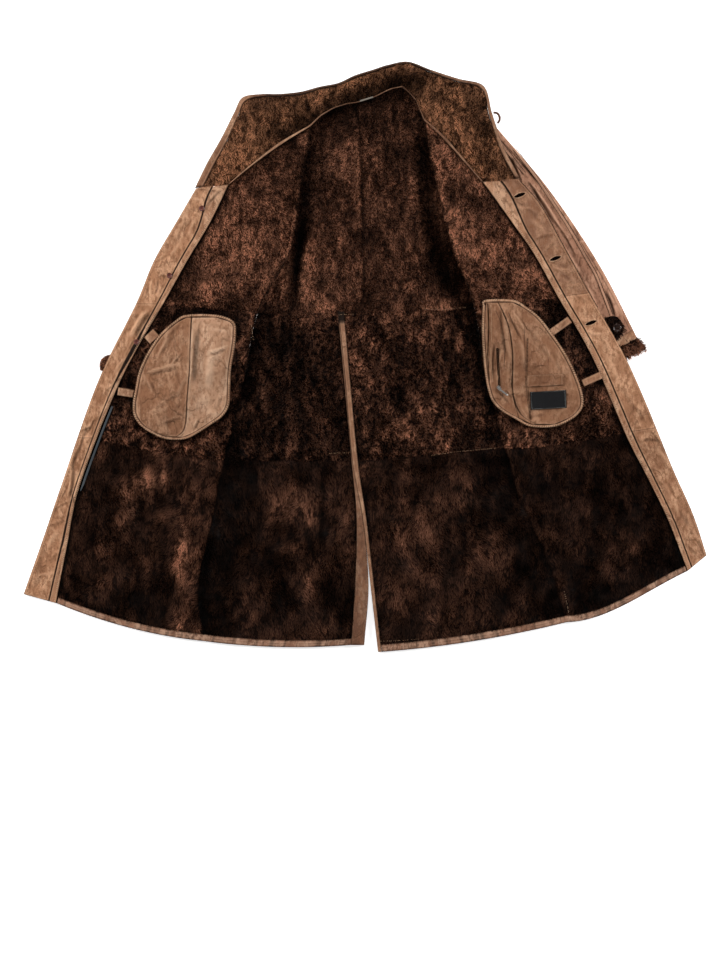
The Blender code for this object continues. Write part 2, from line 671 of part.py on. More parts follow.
def build_buttons():
    for number, (x, y) in enumerate(BUTTONS, 1):
        around = [Vector((x + BUTTON_RADIUS * cos(a), y + BUTTON_RADIUS * sin(a))) for a in stops(0, 2 * pi, 8)]
        under = min(lay(p) for p in around)
        button(f"button_{number}", (x, y), under - BUTTON_HEIGHT - 3 * GAP, BUTTON_RADIUS, BUTTON_HEIGHT)
        near = [Vector((x + COUNTER_RADIUS * cos(a), y + COUNTER_RADIUS * sin(a))) for a in stops(0, 2 * pi, 8)]
        top = max(lay(p) for p in near) + SHORN + BOUND + 3 * GAP
        button(f"counter_button_{number}", (x, y), top, COUNTER_RADIUS, COUNTER_HEIGHT)


def build_loop():
    curve = bpy.data.curves.new("collar_loop", "CURVE")
    curve.dimensions = "3D"
    curve.bevel_depth = LOOP_RADIUS
    curve.bevel_resolution = 2
    curve.use_fill_caps = True
    count = 12
    route = [Vector(point) for point in LOOP_ROUTE]
    line = curve.splines.new("POLY")
    line.points.add(count)
    for i, at in enumerate(stops(0, len(route) - 1, count)):
        point = spline(route, at)
        line.points[i].co = (*(Vector((*point, lay(point) + SKIN / 2)) - MIDDLE), 1)
    part = bpy.data.objects.new("collar_loop", curve)
    coat.objects.link(part)
    paint(part, "leather")


build_front("left", FRONT_LEFT)
build_front("right", FRONT_RIGHT)
build_back("left", FRONT_LEFT, "slip_from", "y_left", TOP_LEFT)
build_back("right", FRONT_RIGHT, "bound_to", "y_right", TOP_RIGHT)
build_vent()
build_hem("left", FRONT_LEFT, "slip_from", "y_left")
build_hem("right", FRONT_RIGHT, "bound_to", "y_right")
build_collar()
build_sleeve("left", SLEEVE_LEFT, TOP_LEFT, -1)
build_cuff_tab(build_sleeve("right", SLEEVE_RIGHT, TOP_RIGHT, 1))
build_bag("left", BAG_LEFT, "outer", "inner")
build_bag("right", BAG_RIGHT, "side", "main")
build_strips()
build_buttons()
build_loop()
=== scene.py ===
import json
from math import cos, pi, radians, sin

import bmesh
import bpy
import numpy as np
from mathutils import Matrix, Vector

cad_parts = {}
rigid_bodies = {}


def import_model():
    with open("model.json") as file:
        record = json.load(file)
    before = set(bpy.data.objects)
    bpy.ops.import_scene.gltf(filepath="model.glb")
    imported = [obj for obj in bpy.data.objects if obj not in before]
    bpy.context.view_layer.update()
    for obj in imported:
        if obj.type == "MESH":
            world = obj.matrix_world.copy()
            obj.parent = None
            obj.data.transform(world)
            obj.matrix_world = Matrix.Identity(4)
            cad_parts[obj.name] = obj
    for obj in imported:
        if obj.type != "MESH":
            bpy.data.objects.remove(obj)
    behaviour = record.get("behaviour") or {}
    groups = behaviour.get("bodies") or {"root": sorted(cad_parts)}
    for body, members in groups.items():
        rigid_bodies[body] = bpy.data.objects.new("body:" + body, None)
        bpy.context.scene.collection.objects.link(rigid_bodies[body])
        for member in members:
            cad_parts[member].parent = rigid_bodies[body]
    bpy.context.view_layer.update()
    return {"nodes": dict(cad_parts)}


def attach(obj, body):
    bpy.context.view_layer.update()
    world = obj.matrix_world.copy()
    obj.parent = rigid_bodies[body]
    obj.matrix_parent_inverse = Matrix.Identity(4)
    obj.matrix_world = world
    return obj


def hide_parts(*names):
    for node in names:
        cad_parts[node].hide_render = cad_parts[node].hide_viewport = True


for leftOver in list(bpy.data.objects):
    bpy.data.objects.remove(leftOver)
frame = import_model()
mm = 0.001  # the tables of small things below are in millimetres

# Heights and seams of the cut pieces, in metres, as they lie
layers = {
    "skin": 0.0085, "shorn": 0.0035, "leather": 0.002, "bound": 0.004, "hem": 0.0075, "sleeve": 0.017,
    "gap": 0.0003, "bagClear": 0.002, "onBag": 0.0012, "bagWall": 0.0035, "bagBinding": 0.005,
}
middle = np.array((0.001, 0.001))  # the middle of the coat's outline, which is the origin

fronts = {  # cross lines from hem to neck: outer edge, facing's inner edge, fold, sag
    "left": np.array([
        (-0.596, -0.414, -0.538, -0.430, -0.283, -0.496, 0.010),
        (-0.564, -0.323, -0.519, -0.330, -0.288, -0.384, 0.008),
        (-0.533, -0.232, -0.500, -0.235, -0.265, -0.276, 0.006),
        (-0.501, -0.141, -0.465, -0.141, -0.246, -0.179, 0.005),
        (-0.456, -0.025, -0.414, -0.022, -0.213, -0.048, 0.002),
        (-0.398, 0.092, -0.349, 0.092, -0.186, 0.078, 0.000),
        (-0.367, 0.167, -0.307, 0.167, -0.132, 0.179, 0.000),
        (-0.326, 0.237, -0.267, 0.234, -0.116, 0.267, 0.000),
        (-0.295, 0.290, -0.235, 0.300, -0.094, 0.402, -0.005),
    ]),
    "right": np.array([
        (0.598, -0.346, 0.564, -0.374, 0.354, -0.463, 0.012),
        (0.575, -0.276, 0.529, -0.284, 0.321, -0.358, 0.010),
        (0.543, -0.204, 0.491, -0.206, 0.272, -0.249, 0.006),
        (0.508, -0.123, 0.452, -0.132, 0.244, -0.157, 0.005),
        (0.454, -0.001, 0.393, 0.003, 0.209, -0.022, 0.002),
        (0.391, 0.111, 0.335, 0.104, 0.192, 0.085, 0.000),
        (0.346, 0.193, 0.295, 0.176, 0.155, 0.188, 0.000),
        (0.307, 0.263, 0.256, 0.232, 0.129, 0.284, 0.000),
        (0.270, 0.307, 0.204, 0.304, 0.104, 0.412, -0.003),
    ]),
}
skews = {"left": 0.0, "right": 0.8}
tiers = {"lower": (0.115, 3.0), "middle": (3.0, 5.0), "upper": (5.0, 8.0)}
# the vent on the same rows to the waist: y of the left panel, slip edge, binding, y of the right, sag
vent = np.array([
    (-0.503, -0.0236, -0.0009, 0.0236, 0.0298, -0.515, 0.007),
    (-0.395, -0.0166, 0.0067, 0.0100, 0.0166, -0.396, 0.004),
    (-0.282, -0.0140, -0.0035, -0.0030, 0.0032, -0.282, 0.002),
    (-0.179, -0.0230, -0.0217, -0.0212, -0.0117, -0.180, 0.000),
    (-0.048, -0.0350, -0.0335, -0.0330, -0.0245, -0.046, 0.000),
    (0.0805, -0.0470, -0.0455, -0.0450, -0.0360, 0.0803, 0.000),
])
upperBack = {
    "centre": np.array([(0.003, 0.0815), (-0.003, 0.167), (-0.006, 0.276), (-0.010, 0.445)]),
    "left": np.array([(-0.186, 0.078), (-0.197, 0.167), (-0.176, 0.276), (-0.213, 0.381)]),
    "right": np.array([(0.192, 0.085), (0.202, 0.167), (0.179, 0.276), (0.228, 0.403)]),
}
topLines = {  # neck from the centre to the fold, then the shoulder seam to the armhole
    "left": np.array([(-0.010, 0.445), (-0.030, 0.442), (-0.053, 0.434), (-0.076, 0.420),
                      (-0.094, 0.402), (-0.153, 0.392), (-0.213, 0.381)]),
    "right": np.array([(-0.010, 0.445), (0.020, 0.455), (0.046, 0.468), (0.068, 0.472),
                       (0.090, 0.447), (0.104, 0.412), (0.166, 0.409), (0.228, 0.403)]),
}
rim = np.array([  # the collar's rim from the left facing round to the right, and its edge band
    (-0.295, 0.294, 0.013), (-0.274, 0.337, 0.012), (-0.249, 0.381, 0.011), (-0.228, 0.425, 0.010),
    (-0.213, 0.454, 0.008), (-0.180, 0.460, 0.005), (-0.148, 0.460, 0.005), (-0.110, 0.464, 0.005),
    (-0.078, 0.473, 0.004), (-0.045, 0.480, 0.004), (-0.017, 0.493, 0.004), (0.015, 0.503, 0.004),
    (0.040, 0.511, 0.004), (0.076, 0.517, 0.004), (0.115, 0.503, 0.004), (0.164, 0.487, 0.005),
    (0.208, 0.474, 0.006), (0.221, 0.428, 0.007), (0.230, 0.399, 0.007), (0.243, 0.362, 0.007),
    (0.270, 0.311, 0.007),
])
sleeves = {  # from armhole to wrist: outer edge, inner edge
    "left": np.array([(-0.213, 0.381, -0.197, 0.167), (-0.262, 0.262, -0.222, 0.095),
                      (-0.322, 0.154, -0.260, 0.022), (-0.444, 0.000, -0.336, -0.066)]),
    "right": np.array([(0.228, 0.403, 0.202, 0.167), (0.322, 0.293, 0.220, 0.101),
                       (0.412, 0.158, 0.272, 0.031), (0.484, 0.018, 0.368, -0.040)]),
}
sleeveParts = {"end": 0.93, "cuff": 0.965, "trim": 1.045, "seam": 2.62}
bags = {  # y, left edge, seam, right edge
    "left": np.array([
        (0.073, -0.309, -0.300, -0.258), (0.062, -0.330, -0.301, -0.228), (0.041, -0.354, -0.302, -0.223),
        (0.013, -0.374, -0.303, -0.226), (-0.022, -0.391, -0.304, -0.232), (-0.057, -0.399, -0.307, -0.234),
        (-0.083, -0.403, -0.309, -0.236), (-0.103, -0.401, -0.310, -0.247), (-0.121, -0.389, -0.312, -0.272),
        (-0.135, -0.368, -0.317, -0.294), (-0.144, -0.345, -0.328, -0.315),
    ]),
    "right": np.array([
        (0.099, 0.210, 0.232, 0.258), (0.087, 0.205, 0.237, 0.281), (0.069, 0.204, 0.245, 0.304),
        (0.041, 0.204, 0.253, 0.326), (0.010, 0.206, 0.257, 0.347), (-0.022, 0.209, 0.258, 0.364),
        (-0.053, 0.214, 0.258, 0.376), (-0.078, 0.223, 0.262, 0.381), (-0.095, 0.240, 0.268, 0.376),
        (-0.109, 0.264, 0.278, 0.361), (-0.122, 0.290, 0.300, 0.332),
    ]),
}


# Curves and heights, on arrays of points


def smooth(t):
    t = np.clip(t, 0.0, 1.0)
    return t * t * (3 - 2 * t)


def between(before, here, after, beyond, t):  # a smooth curve from here to after
    return (here * 2 + (after - before) * t + (before * 2 - here * 5 + after * 4 - beyond) * t ** 2
            + (here * 3 - before - after * 3 + beyond) * t ** 3) * 0.5


def splineAt(values, at):
    values, at = np.asarray(values, float), np.asarray(at, float)
    last = len(values) - 1
    i = np.clip(at.astype(int), 0, last - 1)
    t = at - i
    first, end = i == 0, i == last - 1
    if values.ndim > 1:
        t, first, end = t[..., None], first[..., None], end[..., None]
    here, after = values[i], values[i + 1]
    before = np.where(first, here * 2 - after, values[np.maximum(i - 1, 0)])
    beyond = np.where(end, after * 2 - here, values[np.minimum(i + 2, last)])
    return between(before, here, after, beyond, t)


def axes(turn):  # a direction turned from x, and the one to its left
    along = np.array((cos(turn), sin(turn)))
    return along, np.array((-along[1], along[0]))


def outsideBand(points, line):
    nearest = np.ones(len(points))
    last = len(line) - 2
    for i, ((a, wideA), (b, wideB)) in enumerate(zip(line, line[1:])):
        run = b - a
        share = (points - a) @ run / (run @ run)
        t = np.clip(share, 0, 1)
        away = points - a - t[:, None] * run
        if i == last:
            away -= np.maximum(share - 1, 0)[:, None] * run * 0.3
        nearest = np.minimum(nearest, np.linalg.norm(away, axis=1) - wideA - (wideB - wideA) * t)
    return nearest


def sleeveBand(side):
    outer, inner = sleeves[side][:, :2], sleeves[side][:, 2:]
    return [((o + i) / 2, np.linalg.norm(o - i) / 2) for o, i in zip(outer, inner)]


def lapBand(side):
    return [(fold, 0.035) for fold in fronts[side][5:, 4:6]] + [(topLines[side][-1], 0.035)]


below = [(sleeveBand("left"), 0.0215, 0.09), (sleeveBand("right"), 0.0215, 0.09),
         (lapBand("left"), 0.0105, 0.055), (lapBand("right"), 0.0105, 0.055)]


def lay(points):  # height of the underside of the fronts and collar
    total = sum((height * (1 - smooth(outsideBand(points, band) / run))) ** 4 for band, height, run in below)
    return total ** 0.25


def ground(points):
    return np.zeros(len(points))


def fieldNoise(points, size, seed, octaves=2):
    total, weight, value = 0.0, 1.0, 0.0
    for octave in range(octaves):
        lattice = np.random.default_rng(seed + octave).random((257, 257))
        at = points / (size / 2 ** octave) + 100.0
        i = np.floor(at).astype(int)
        f = smooth(at - i)
        x0, y0 = i[:, 0] % 256, i[:, 1] % 256
        low = lattice[x0, y0] * (1 - f[:, 0]) + lattice[x0 + 1, y0] * f[:, 0]
        high = lattice[x0, y0 + 1] * (1 - f[:, 0]) + lattice[x0 + 1, y0 + 1] * f[:, 0]
        value = value + weight * (low * (1 - f[:, 1]) + high * f[:, 1])
        total, weight = total + weight, weight / 2
    return value / total * 2 - 1


creaseShape = {"width": 0.68, "height": 1.3, "dip": 0.4, "dipAt": 1.7, "ends": 0.3}  # shares of listed sizes


def creaseHeights(points, rows):  # rows: x, y, turn in degrees, length, width, height, bow, in mm
    height = np.zeros(len(points))
    for x, y, turn, length, width, tall, bow in rows:
        width, tall = width * creaseShape["width"], tall * creaseShape["height"]
        along, aside = axes(radians(turn))
        off = points - np.array((x, y)) * mm
        t = off @ along / (length * mm) + 0.5
        d = off @ aside - bow * mm * 4 * t * (1 - t)
        fade = smooth(t / creaseShape["ends"]) * smooth((1 - t) / creaseShape["ends"])
        d = d / (width * mm)
        dip = creaseShape["dip"] * np.exp(-(d - creaseShape["dipAt"]) ** 2)
        height += tall * mm * fade * (np.exp(-d * d) - dip)
    return height


def patchValues(points, rows):  # rows: x, y, turn, half length, half width in mm, strength
    value = np.zeros(len(points))
    for x, y, turn, half, wide, strength in rows:
        along, aside = axes(radians(turn))
        off = points - np.array((x, y)) * mm
        a, b = off @ along / (half * mm), off @ aside / (wide * mm)
        value += strength * np.exp(-(a * a + b * b))
    return value


# Finishes: sockets with arithmetic, and one method for every other node


class Link:
    def __init__(self, nodes, socket):
        self.nodes, self.socket = nodes, socket

    def math(self, operation, one, other):
        return self.nodes.node("ShaderNodeMath", {"operation": operation}, {0: one, 1: other})

    def __add__(self, other):
        return self.math("ADD", self, other)

    def __radd__(self, other):
        return self.math("ADD", other, self)

    def __sub__(self, other):
        return self.math("SUBTRACT", self, other)

    def __rsub__(self, other):
        return self.math("SUBTRACT", other, self)

    def __mul__(self, other):
        return self.math("MULTIPLY", self, other)

    def __rmul__(self, other):
        return self.math("MULTIPLY", other, self)

    def __truediv__(self, other):
        return self.math("DIVIDE", self, other)

    def __pow__(self, other):
        return self.math("POWER", self, other)


class Nodes:
    def __init__(self, tree):
        self.tree = tree

    def node(self, kind, settings=None, inputs=None, out=0):
        made = self.tree.nodes.new(kind)
        for name, value in (settings or {}).items():
            if name == "stops":
                ramp = made.color_ramp
                while len(ramp.elements) < len(value):
                    ramp.elements.new(0.5)
                for element, (place, colour) in zip(ramp.elements, value):
                    element.position, element.color = place, (*colour, 1)
            else:
                setattr(made, name, value)
        for name, value in (inputs or {}).items():
            if isinstance(value, Link):
                self.tree.links.new(value.socket, made.inputs[name])
            else:
                made.inputs[name].default_value = value
        return Link(self, made.outputs[out])

    def vector(self, operation, *values):
        return self.node("ShaderNodeVectorMath", {"operation": operation}, dict(enumerate(values)))

    def scaled(self, vector, amount):
        made = self.vector("SCALE", vector)
        self.tree.links.new(amount.socket, made.socket.node.inputs["Scale"])
        return made

    def mix(self, share, one, other):
        one, other = (value if isinstance(value, Link) else (*value, 1) for value in (one, other))
        settings = {"data_type": "RGBA", "blend_type": "MIX", "clamp_factor": True}
        return self.node("ShaderNodeMix", settings, {0: share, 6: one, 7: other}, 2)

    def noise(self, place, scale, detail, rough=0.55):
        inputs = {"Vector": place, "Scale": scale, "Detail": detail, "Roughness": rough}
        return self.node("ShaderNodeTexNoise", {}, inputs)

    def away(self, value):
        return self.node("ShaderNodeMath", {"operation": "ABSOLUTE"}, {0: value})

    def within(self, value, low, high):
        return self.node("ShaderNodeMapRange", {"interpolation_type": "SMOOTHSTEP"},
                         {0: value, 1: low, 2: high, 3: 0.0, 4: 1.0})

    def read(self, name):  # a value stored on the mesh, in a material
        return self.node("ShaderNodeAttribute", {"attribute_name": name}, {}, "Fac")

    def stored(self, name, kind="FLOAT"):  # the same in a tree of Geometry Nodes
        return self.node("GeometryNodeInputNamedAttribute", {"data_type": kind}, {"Name": name})


def newFinish(name, roughness, metallic=0.0, **constants):
    material = bpy.data.materials.new(name)
    material.use_nodes = True
    nodes = Nodes(material.node_tree)
    shader = material.node_tree.nodes["Principled BSDF"]
    shader.inputs["Roughness"].default_value = roughness
    shader.inputs["Metallic"].default_value = metallic
    for key, value in constants.items():
        shader.inputs[key.replace("_", " ")].default_value = value
    place = nodes.node("ShaderNodeTexCoord", {}, {}, "Object")
    return material, nodes, shader, place


def plug(nodes, shader, name, link):
    nodes.tree.links.new(link.socket, shader.inputs[name])


def bump(nodes, shader, height, strength, distance):
    made = nodes.node("ShaderNodeBump", {}, {"Height": height, "Strength": strength, "Distance": distance})
    plug(nodes, shader, "Normal", made)


pileLooks = {  # hue of a strand, which its tone scales
    "fur": {"hue": (1.0, 0.425, 0.245)},
    "collar_fur": {"hue": (1.0, 0.445, 0.225)},
}


def makePileFinish(name, look):
    material, nodes, shader, _ = newFinish(name, 0.55, Specular_IOR_Level=0.05)
    strand = nodes.read("strand")
    height = nodes.read("tip") ** 1.1
    shade = nodes.read("tone") * (0.06 + 1.75 * strand * strand) * (0.08 + 0.92 * height)
    plug(nodes, shader, "Base Color", nodes.scaled(look["hue"], shade))
    return material


def makeSkinFinish(name, look):
    material, nodes, shader, place = newFinish(name, 0.9, Specular_IOR_Level=0.02)
    curl = nodes.noise(place, 420.0, 3.0, 0.7)
    plug(nodes, shader, "Base Color", nodes.scaled(look["hue"], nodes.read("tone") * 0.22 * curl))
    bump(nodes, shader, curl, 0.8, 0.002)
    return material


leatherLooks = {  # colour, its darker and lighter patches, a second tint, and how strong the grain is; the darker and lighter colours also give painted shade and painted highlight
    "leather": {"base": (0.420, 0.208, 0.112), "dark": (0.225, 0.098, 0.048), "light": (0.760, 0.450, 0.275),
                "tinted": (0.200, 0.098, 0.060), "mottle": 0.6, "grain": 0.8, "rough": 0.6},
    "sleeve": {"base": (0.375, 0.188, 0.116), "dark": (0.180, 0.077, 0.044), "light": (0.560, 0.320, 0.210),
               "tinted": (0.090, 0.040, 0.026), "mottle": 0.5, "grain": 0.5, "rough": 0.5},
    "bag": {"base": (0.385, 0.192, 0.104), "dark": (0.200, 0.088, 0.045), "light": (0.680, 0.420, 0.265),
            "tinted": (0.215, 0.098, 0.052), "mottle": 0.5, "grain": 0.8, "rough": 0.62},
    # a lighter copy of the bag leather for the left bag's inner half: painted light, as that half faced the
    # light
    "innerBag": {"base": (0.520, 0.300, 0.185), "dark": (0.290, 0.145, 0.080), "light": (0.720, 0.480, 0.330),
                 "tinted": (0.215, 0.098, 0.052), "mottle": 0.5, "grain": 0.8, "rough": 0.62},
    "binding": {"base": (0.400, 0.205, 0.115), "dark": (0.220, 0.102, 0.055), "light": (0.600, 0.365, 0.230),
                "tinted": (0.120, 0.054, 0.032), "mottle": 0.85, "grain": 0.7, "rough": 0.6},
    "hem": {"base": (0.310, 0.157, 0.098), "dark": (0.130, 0.060, 0.036), "light": (0.490, 0.300, 0.205),
            "tinted": (0.100, 0.046, 0.028), "mottle": 0.85, "grain": 0.6, "rough": 0.6},
    "under": {"base": (0.300, 0.170, 0.110), "dark": (0.220, 0.115, 0.070), "light": (0.360, 0.215, 0.140),
              "tinted": (0.200, 0.100, 0.060), "mottle": 0.5, "grain": 0.3, "rough": 0.8},
}


def darker(colour, share):
    return tuple(c * share for c in colour)


def makeLeatherFinish(name, look):
    material, nodes, shader, place = newFinish(name, look["rough"], Specular_IOR_Level=0.10)
    light, dark, mottle = look["light"], look["dark"], look["mottle"]

    def stretched(share):  # patterns run longer down the skin
        return nodes.vector("MULTIPLY", place, (1.0, share, 1.0))

    def lines(scale, width):  # thin wandering creases, darkened as painted shade
        field = nodes.noise(stretched(0.6), scale, 2.0, 0.5) - 0.5
        return 1.0 - nodes.within(nodes.away(field), 0.0, width)

    clouds = nodes.noise(place, 11.0, 5.0, 0.6)
    stains = nodes.noise(stretched(0.55), 48.0, 5.0, 0.7)
    wrinkles = nodes.noise(stretched(0.5), 190.0, 4.0, 0.7)
    cells = nodes.node("ShaderNodeTexVoronoi", {"feature": "DISTANCE_TO_EDGE"},
                       {"Vector": place, "Scale": 620.0})
    pores = nodes.within(cells, 0.0, 0.25)
    folds = lines(21.0, 0.020) * nodes.within(clouds, 0.42, 0.56)
    hairlines = lines(62.0, 0.035) * nodes.within(stains, 0.40, 0.60)
    tint = nodes.read("tint")
    sunk, worn = nodes.read("sunk"), nodes.read("worn")  # painted shade in creases, seam grooves, gaps and along the edges; painted highlight on raised creases and just inside the edges
    colour = nodes.mix(nodes.within(clouds, 0.40, 0.64) * mottle * 0.9, look["base"], dark)
    colour = nodes.mix(tint, colour, look["tinted"])
    colour = nodes.mix(nodes.within(stains, 0.44, 0.63) * mottle * (1.0 - 0.7 * tint), colour, light)
    colour = nodes.mix(nodes.within(wrinkles, 0.49, 0.60) * 0.7, colour, dark)
    # painted shade in the crease lines
    colour = nodes.mix((folds * 0.6 + hairlines * 0.5) * mottle, colour, darker(dark, 0.55))
    # painted shade, then painted highlight, from the values stored on the mesh
    colour = nodes.mix(sunk, colour, darker(dark, 0.05))
    colour = nodes.mix(worn * (0.6 - 0.5 * tint), colour, light)
    plug(nodes, shader, "Base Color", colour)
    plug(nodes, shader, "Roughness", look["rough"] + (wrinkles - 0.5) * 0.4)
    grain = pores * 0.1 + wrinkles + stains * 1.8 + clouds * 2.0 - folds * 0.5 - hairlines * 0.3
    bump(nodes, shader, grain, look["grain"], 0.0045)
    return material


def makeThreadFinish(name, colour, dark):
    material, nodes, shader, place = newFinish(name, 0.7, Specular_IOR_Level=0.1)
    ply = nodes.node("ShaderNodeTexWave", {"bands_direction": "DIAGONAL"}, {"Vector": place, "Scale": 900.0})
    patchy = nodes.noise(place, 60.0, 2.0)
    shade = nodes.mix(nodes.within(patchy, 0.35, 0.7), colour, dark)
    plug(nodes, shader, "Base Color", nodes.mix(ply * 0.4, shade, dark))
    bump(nodes, shader, ply, 0.4, 0.0003)
    return material


def makeWovenFinish(name, colour, other, scale):
    material, nodes, shader, place = newFinish(name, 0.75, Specular_IOR_Level=0.0)
    across = nodes.node("ShaderNodeTexWave", {"bands_direction": "X"}, {"Vector": place, "Scale": scale})
    down = nodes.node("ShaderNodeTexWave", {"bands_direction": "Y"}, {"Vector": place, "Scale": scale})
    weave = across * down
    plug(nodes, shader, "Base Color", nodes.mix(weave, colour, other))
    bump(nodes, shader, weave, 0.5, 0.0003)
    return material


def makeGlossFinish(name, colour, streak, rough, metallic=0.0):
    material, nodes, shader, place = newFinish(name, rough, metallic, Coat_Roughness=0.15)
    marble = nodes.noise(nodes.vector("MULTIPLY", place, (1.0, 3.0, 1.0)), 160.0, 4.0, 0.6)
    plug(nodes, shader, "Base Color", nodes.mix(nodes.within(marble, 0.4, 0.7), colour, streak))
    plug(nodes, shader, "Roughness", rough + (marble - 0.5) * 0.2)
    bump(nodes, shader, marble, 0.1, 0.0003)
    return material


threadColours = {  # colour, and its darker twist
    "thread": ((0.52, 0.34, 0.21), (0.30, 0.17, 0.10)),
    "paleThread": ((0.66, 0.47, 0.31), (0.42, 0.26, 0.16)),
    "darkThread": ((0.075, 0.034, 0.020), (0.030, 0.014, 0.009)),
    "cord": ((0.115, 0.050, 0.030), (0.05, 0.02, 0.012)),
}
wovenColours = {  # colour, the weave's other colour, threads
    "tape": ((0.048, 0.054, 0.061), (0.115, 0.125, 0.135), 900.0),
    "zipTape": ((0.014, 0.007, 0.005), (0.03, 0.015, 0.01), 900.0),
    "label": ((0.012, 0.012, 0.013), (0.030, 0.031, 0.033), 1200.0),
    "labelEdge": ((0.26, 0.26, 0.24), (0.50, 0.50, 0.46), 1200.0),
    "ribbon": ((0.16, 0.14, 0.12), (0.30, 0.27, 0.23), 900.0),
    # near-black marks of painted shadow in gaps, grooves and holes
    "slit": ((0.002, 0.001, 0.001), (0.006, 0.003, 0.002), 300.0),
}
glossColours = {  # colour, its streaks, roughness, and metallic where it is metal
    "button": ((0.016, 0.007, 0.005), (0.05, 0.022, 0.012), 0.2),
    "counter": ((0.060, 0.012, 0.008), (0.19, 0.045, 0.025), 0.3),
    "metal": ((0.55, 0.54, 0.52), (0.72, 0.71, 0.68), 0.28, 1.0),
    "brass": ((0.16, 0.10, 0.06), (0.30, 0.20, 0.12), 0.35, 1.0),
}
finishes = {name: makePileFinish(name, look) for name, look in pileLooks.items()}
finishes |= {name + "_skin": makeSkinFinish(name + "_skin", look) for name, look in pileLooks.items()}
finishes |= {name: makeLeatherFinish(name, look) for name, look in leatherLooks.items()}
finishes |= {name: makeThreadFinish(name, *look) for name, look in threadColours.items()}
finishes |= {name: makeWovenFinish(name, *look) for name, look in wovenColours.items()}
finishes |= {name: makeGlossFinish(name, *look) for name, look in glossColours.items()}
print("finishes made")


# Meshes


def newObject(name, data):
    made = bpy.data.objects.new(name, data)
    bpy.context.scene.collection.objects.link(made)
    return made


def newPiece(name, mesh, finishNames):
    made = newObject(name, mesh)
    mesh.materials.clear()
    for finish in finishNames:
        mesh.materials.append(finishes[finish])
    return made


def settle(piece, slotName, *nodes):
    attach(piece, "root")
    if nodes:
        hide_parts(*nodes)
    return piece


def setValues(mesh, name, values):
    mesh.attributes.new(name, "FLOAT", "POINT").data.foreach_set("value", np.asarray(values, np.float32))


def setVectors(mesh, name, values):
    stored = mesh.attributes.new(name, "FLOAT_VECTOR", "POINT")
    stored.data.foreach_set("vector", values.astype(np.float32).ravel())


def plainValues(mesh):  # no painted shade, no painted highlight, no tint
    for name in ("sunk", "worn", "tint"):
        setValues(mesh, name, np.zeros(len(mesh.vertices)))


def shadeSmooth(mesh):
    mesh.polygons.foreach_set("use_smooth", np.ones(len(mesh.polygons), bool))


def gridFaces(count, rows):
    i, j = np.meshgrid(np.arange(count - 1), np.arange(rows - 1), indexing="ij")
    corner = (i * rows + j).ravel()
    return np.stack([corner, corner + rows, corner + rows + 1, corner + 1], 1)


def rimLoop(count, rows):
    low = [i * rows for i in range(count)]
    right = [(count - 1) * rows + j for j in range(1, rows)]
    top = [i * rows + rows - 1 for i in range(count - 2, -1, -1)]
    left = [j for j in range(rows - 2, 0, -1)]
    return np.array(low + right + top + left)


thinned = 4  # an underside keeps every fourth line of its top


def wallMesh(name, low, high, count, rows):  # a closed shell: top, underside, and walls between their rims
    total = count * rows
    faces = gridFaces(count, rows)
    a, b, c = (high[faces[:, k]] for k in (0, 1, 3))
    turned = np.cross(b - a, c - a)[:, 2].sum() < 0
    top = faces[:, ::-1] if turned else faces
    columns, lines = (np.unique(np.append(np.arange(0, n, thinned), n - 1)) for n in (count, rows))
    picked = (columns[:, None] * rows + lines).ravel()
    below = np.full(total, -1)
    below[picked] = total + np.arange(len(picked))
    bottom = gridFaces(len(columns), len(lines)) + total
    bottom = bottom if turned else bottom[:, ::-1]
    loop = list(rimLoop(count, rows))
    corners = [i for i, v in enumerate(loop) if below[v] >= 0] + [len(loop)]
    loop.append(loop[0])
    sides = []
    for i, j in zip(corners, corners[1:]):
        side = [loop[i], below[loop[i]], below[loop[j]], *loop[j:i:-1]]
        sides.append(side[::-1] if turned else side)
    lengths = np.array([4] * (len(top) + len(bottom)) + [len(side) for side in sides])
    corner = np.concatenate([top.ravel(), bottom.ravel(), *[np.array(side) for side in sides]])
    mesh = bpy.data.meshes.new(name)
    points = np.concatenate([high, low[picked]])
    points[:, :2] -= middle
    mesh.vertices.add(len(points))
    mesh.vertices.foreach_set("co", points.astype(np.float32).ravel())
    mesh.loops.add(len(corner))
    mesh.loops.foreach_set("vertex_index", corner.astype(np.int32))
    mesh.polygons.add(len(lengths))
    mesh.polygons.foreach_set("loop_start", (np.cumsum(lengths) - lengths).astype(np.int32))
    mesh.polygons.foreach_set("use_smooth", np.ones(len(lengths), bool))
    under = np.zeros(len(lengths), np.int32)
    under[len(top):] = 1
    mesh.update()
    mesh.validate()
    return mesh, under, np.concatenate([np.arange(total), picked])


def edgeDistances(plan, count, rows):
    grid = plan.reshape(count, rows, 2)
    across = np.concatenate([np.zeros((1, rows)), np.linalg.norm(np.diff(grid, axis=0), axis=2).cumsum(0)])
    along = np.concatenate([np.zeros((count, 1)), np.linalg.norm(np.diff(grid, axis=1), axis=2).cumsum(1)], 1)
    return {"first": across.ravel(), "last": (across[-1:] - across).ravel(),
            "start": along.ravel(), "end": (along[:, -1:] - along).ravel()}


def edgeDrop(distance, radius):
    short = radius - np.minimum(distance, radius)
    return radius - np.sqrt(np.maximum(radius * radius - short * short, 0))


def edged(first, last, count, near):
    inner = np.linspace(first + near, last - near, count)
    ends = np.array([0.0, 0.12, 0.35, 0.65]) * near
    return np.concatenate([first + ends, inner, (last - ends)[::-1]])


def nearest(distances, names):
    return np.min([distances[name] for name in names], axis=0)


def lineAway(points, line):  # distance to a drawn line, and how far along it
    line = np.asarray(line, float) * mm
    best, along, before = np.full(len(points), 9.0), np.zeros(len(points)), 0.0
    for a, b in zip(line, line[1:]):
        run = b - a
        t = np.clip((points - a) @ run / (run @ run), 0, 1)
        away = np.linalg.norm(points - a - t[:, None] * run, axis=1)
        closer = away < best
        along = np.where(closer, before + t * np.linalg.norm(run), along)
        best = np.minimum(best, away)
        before += np.linalg.norm(run)
    return best, along


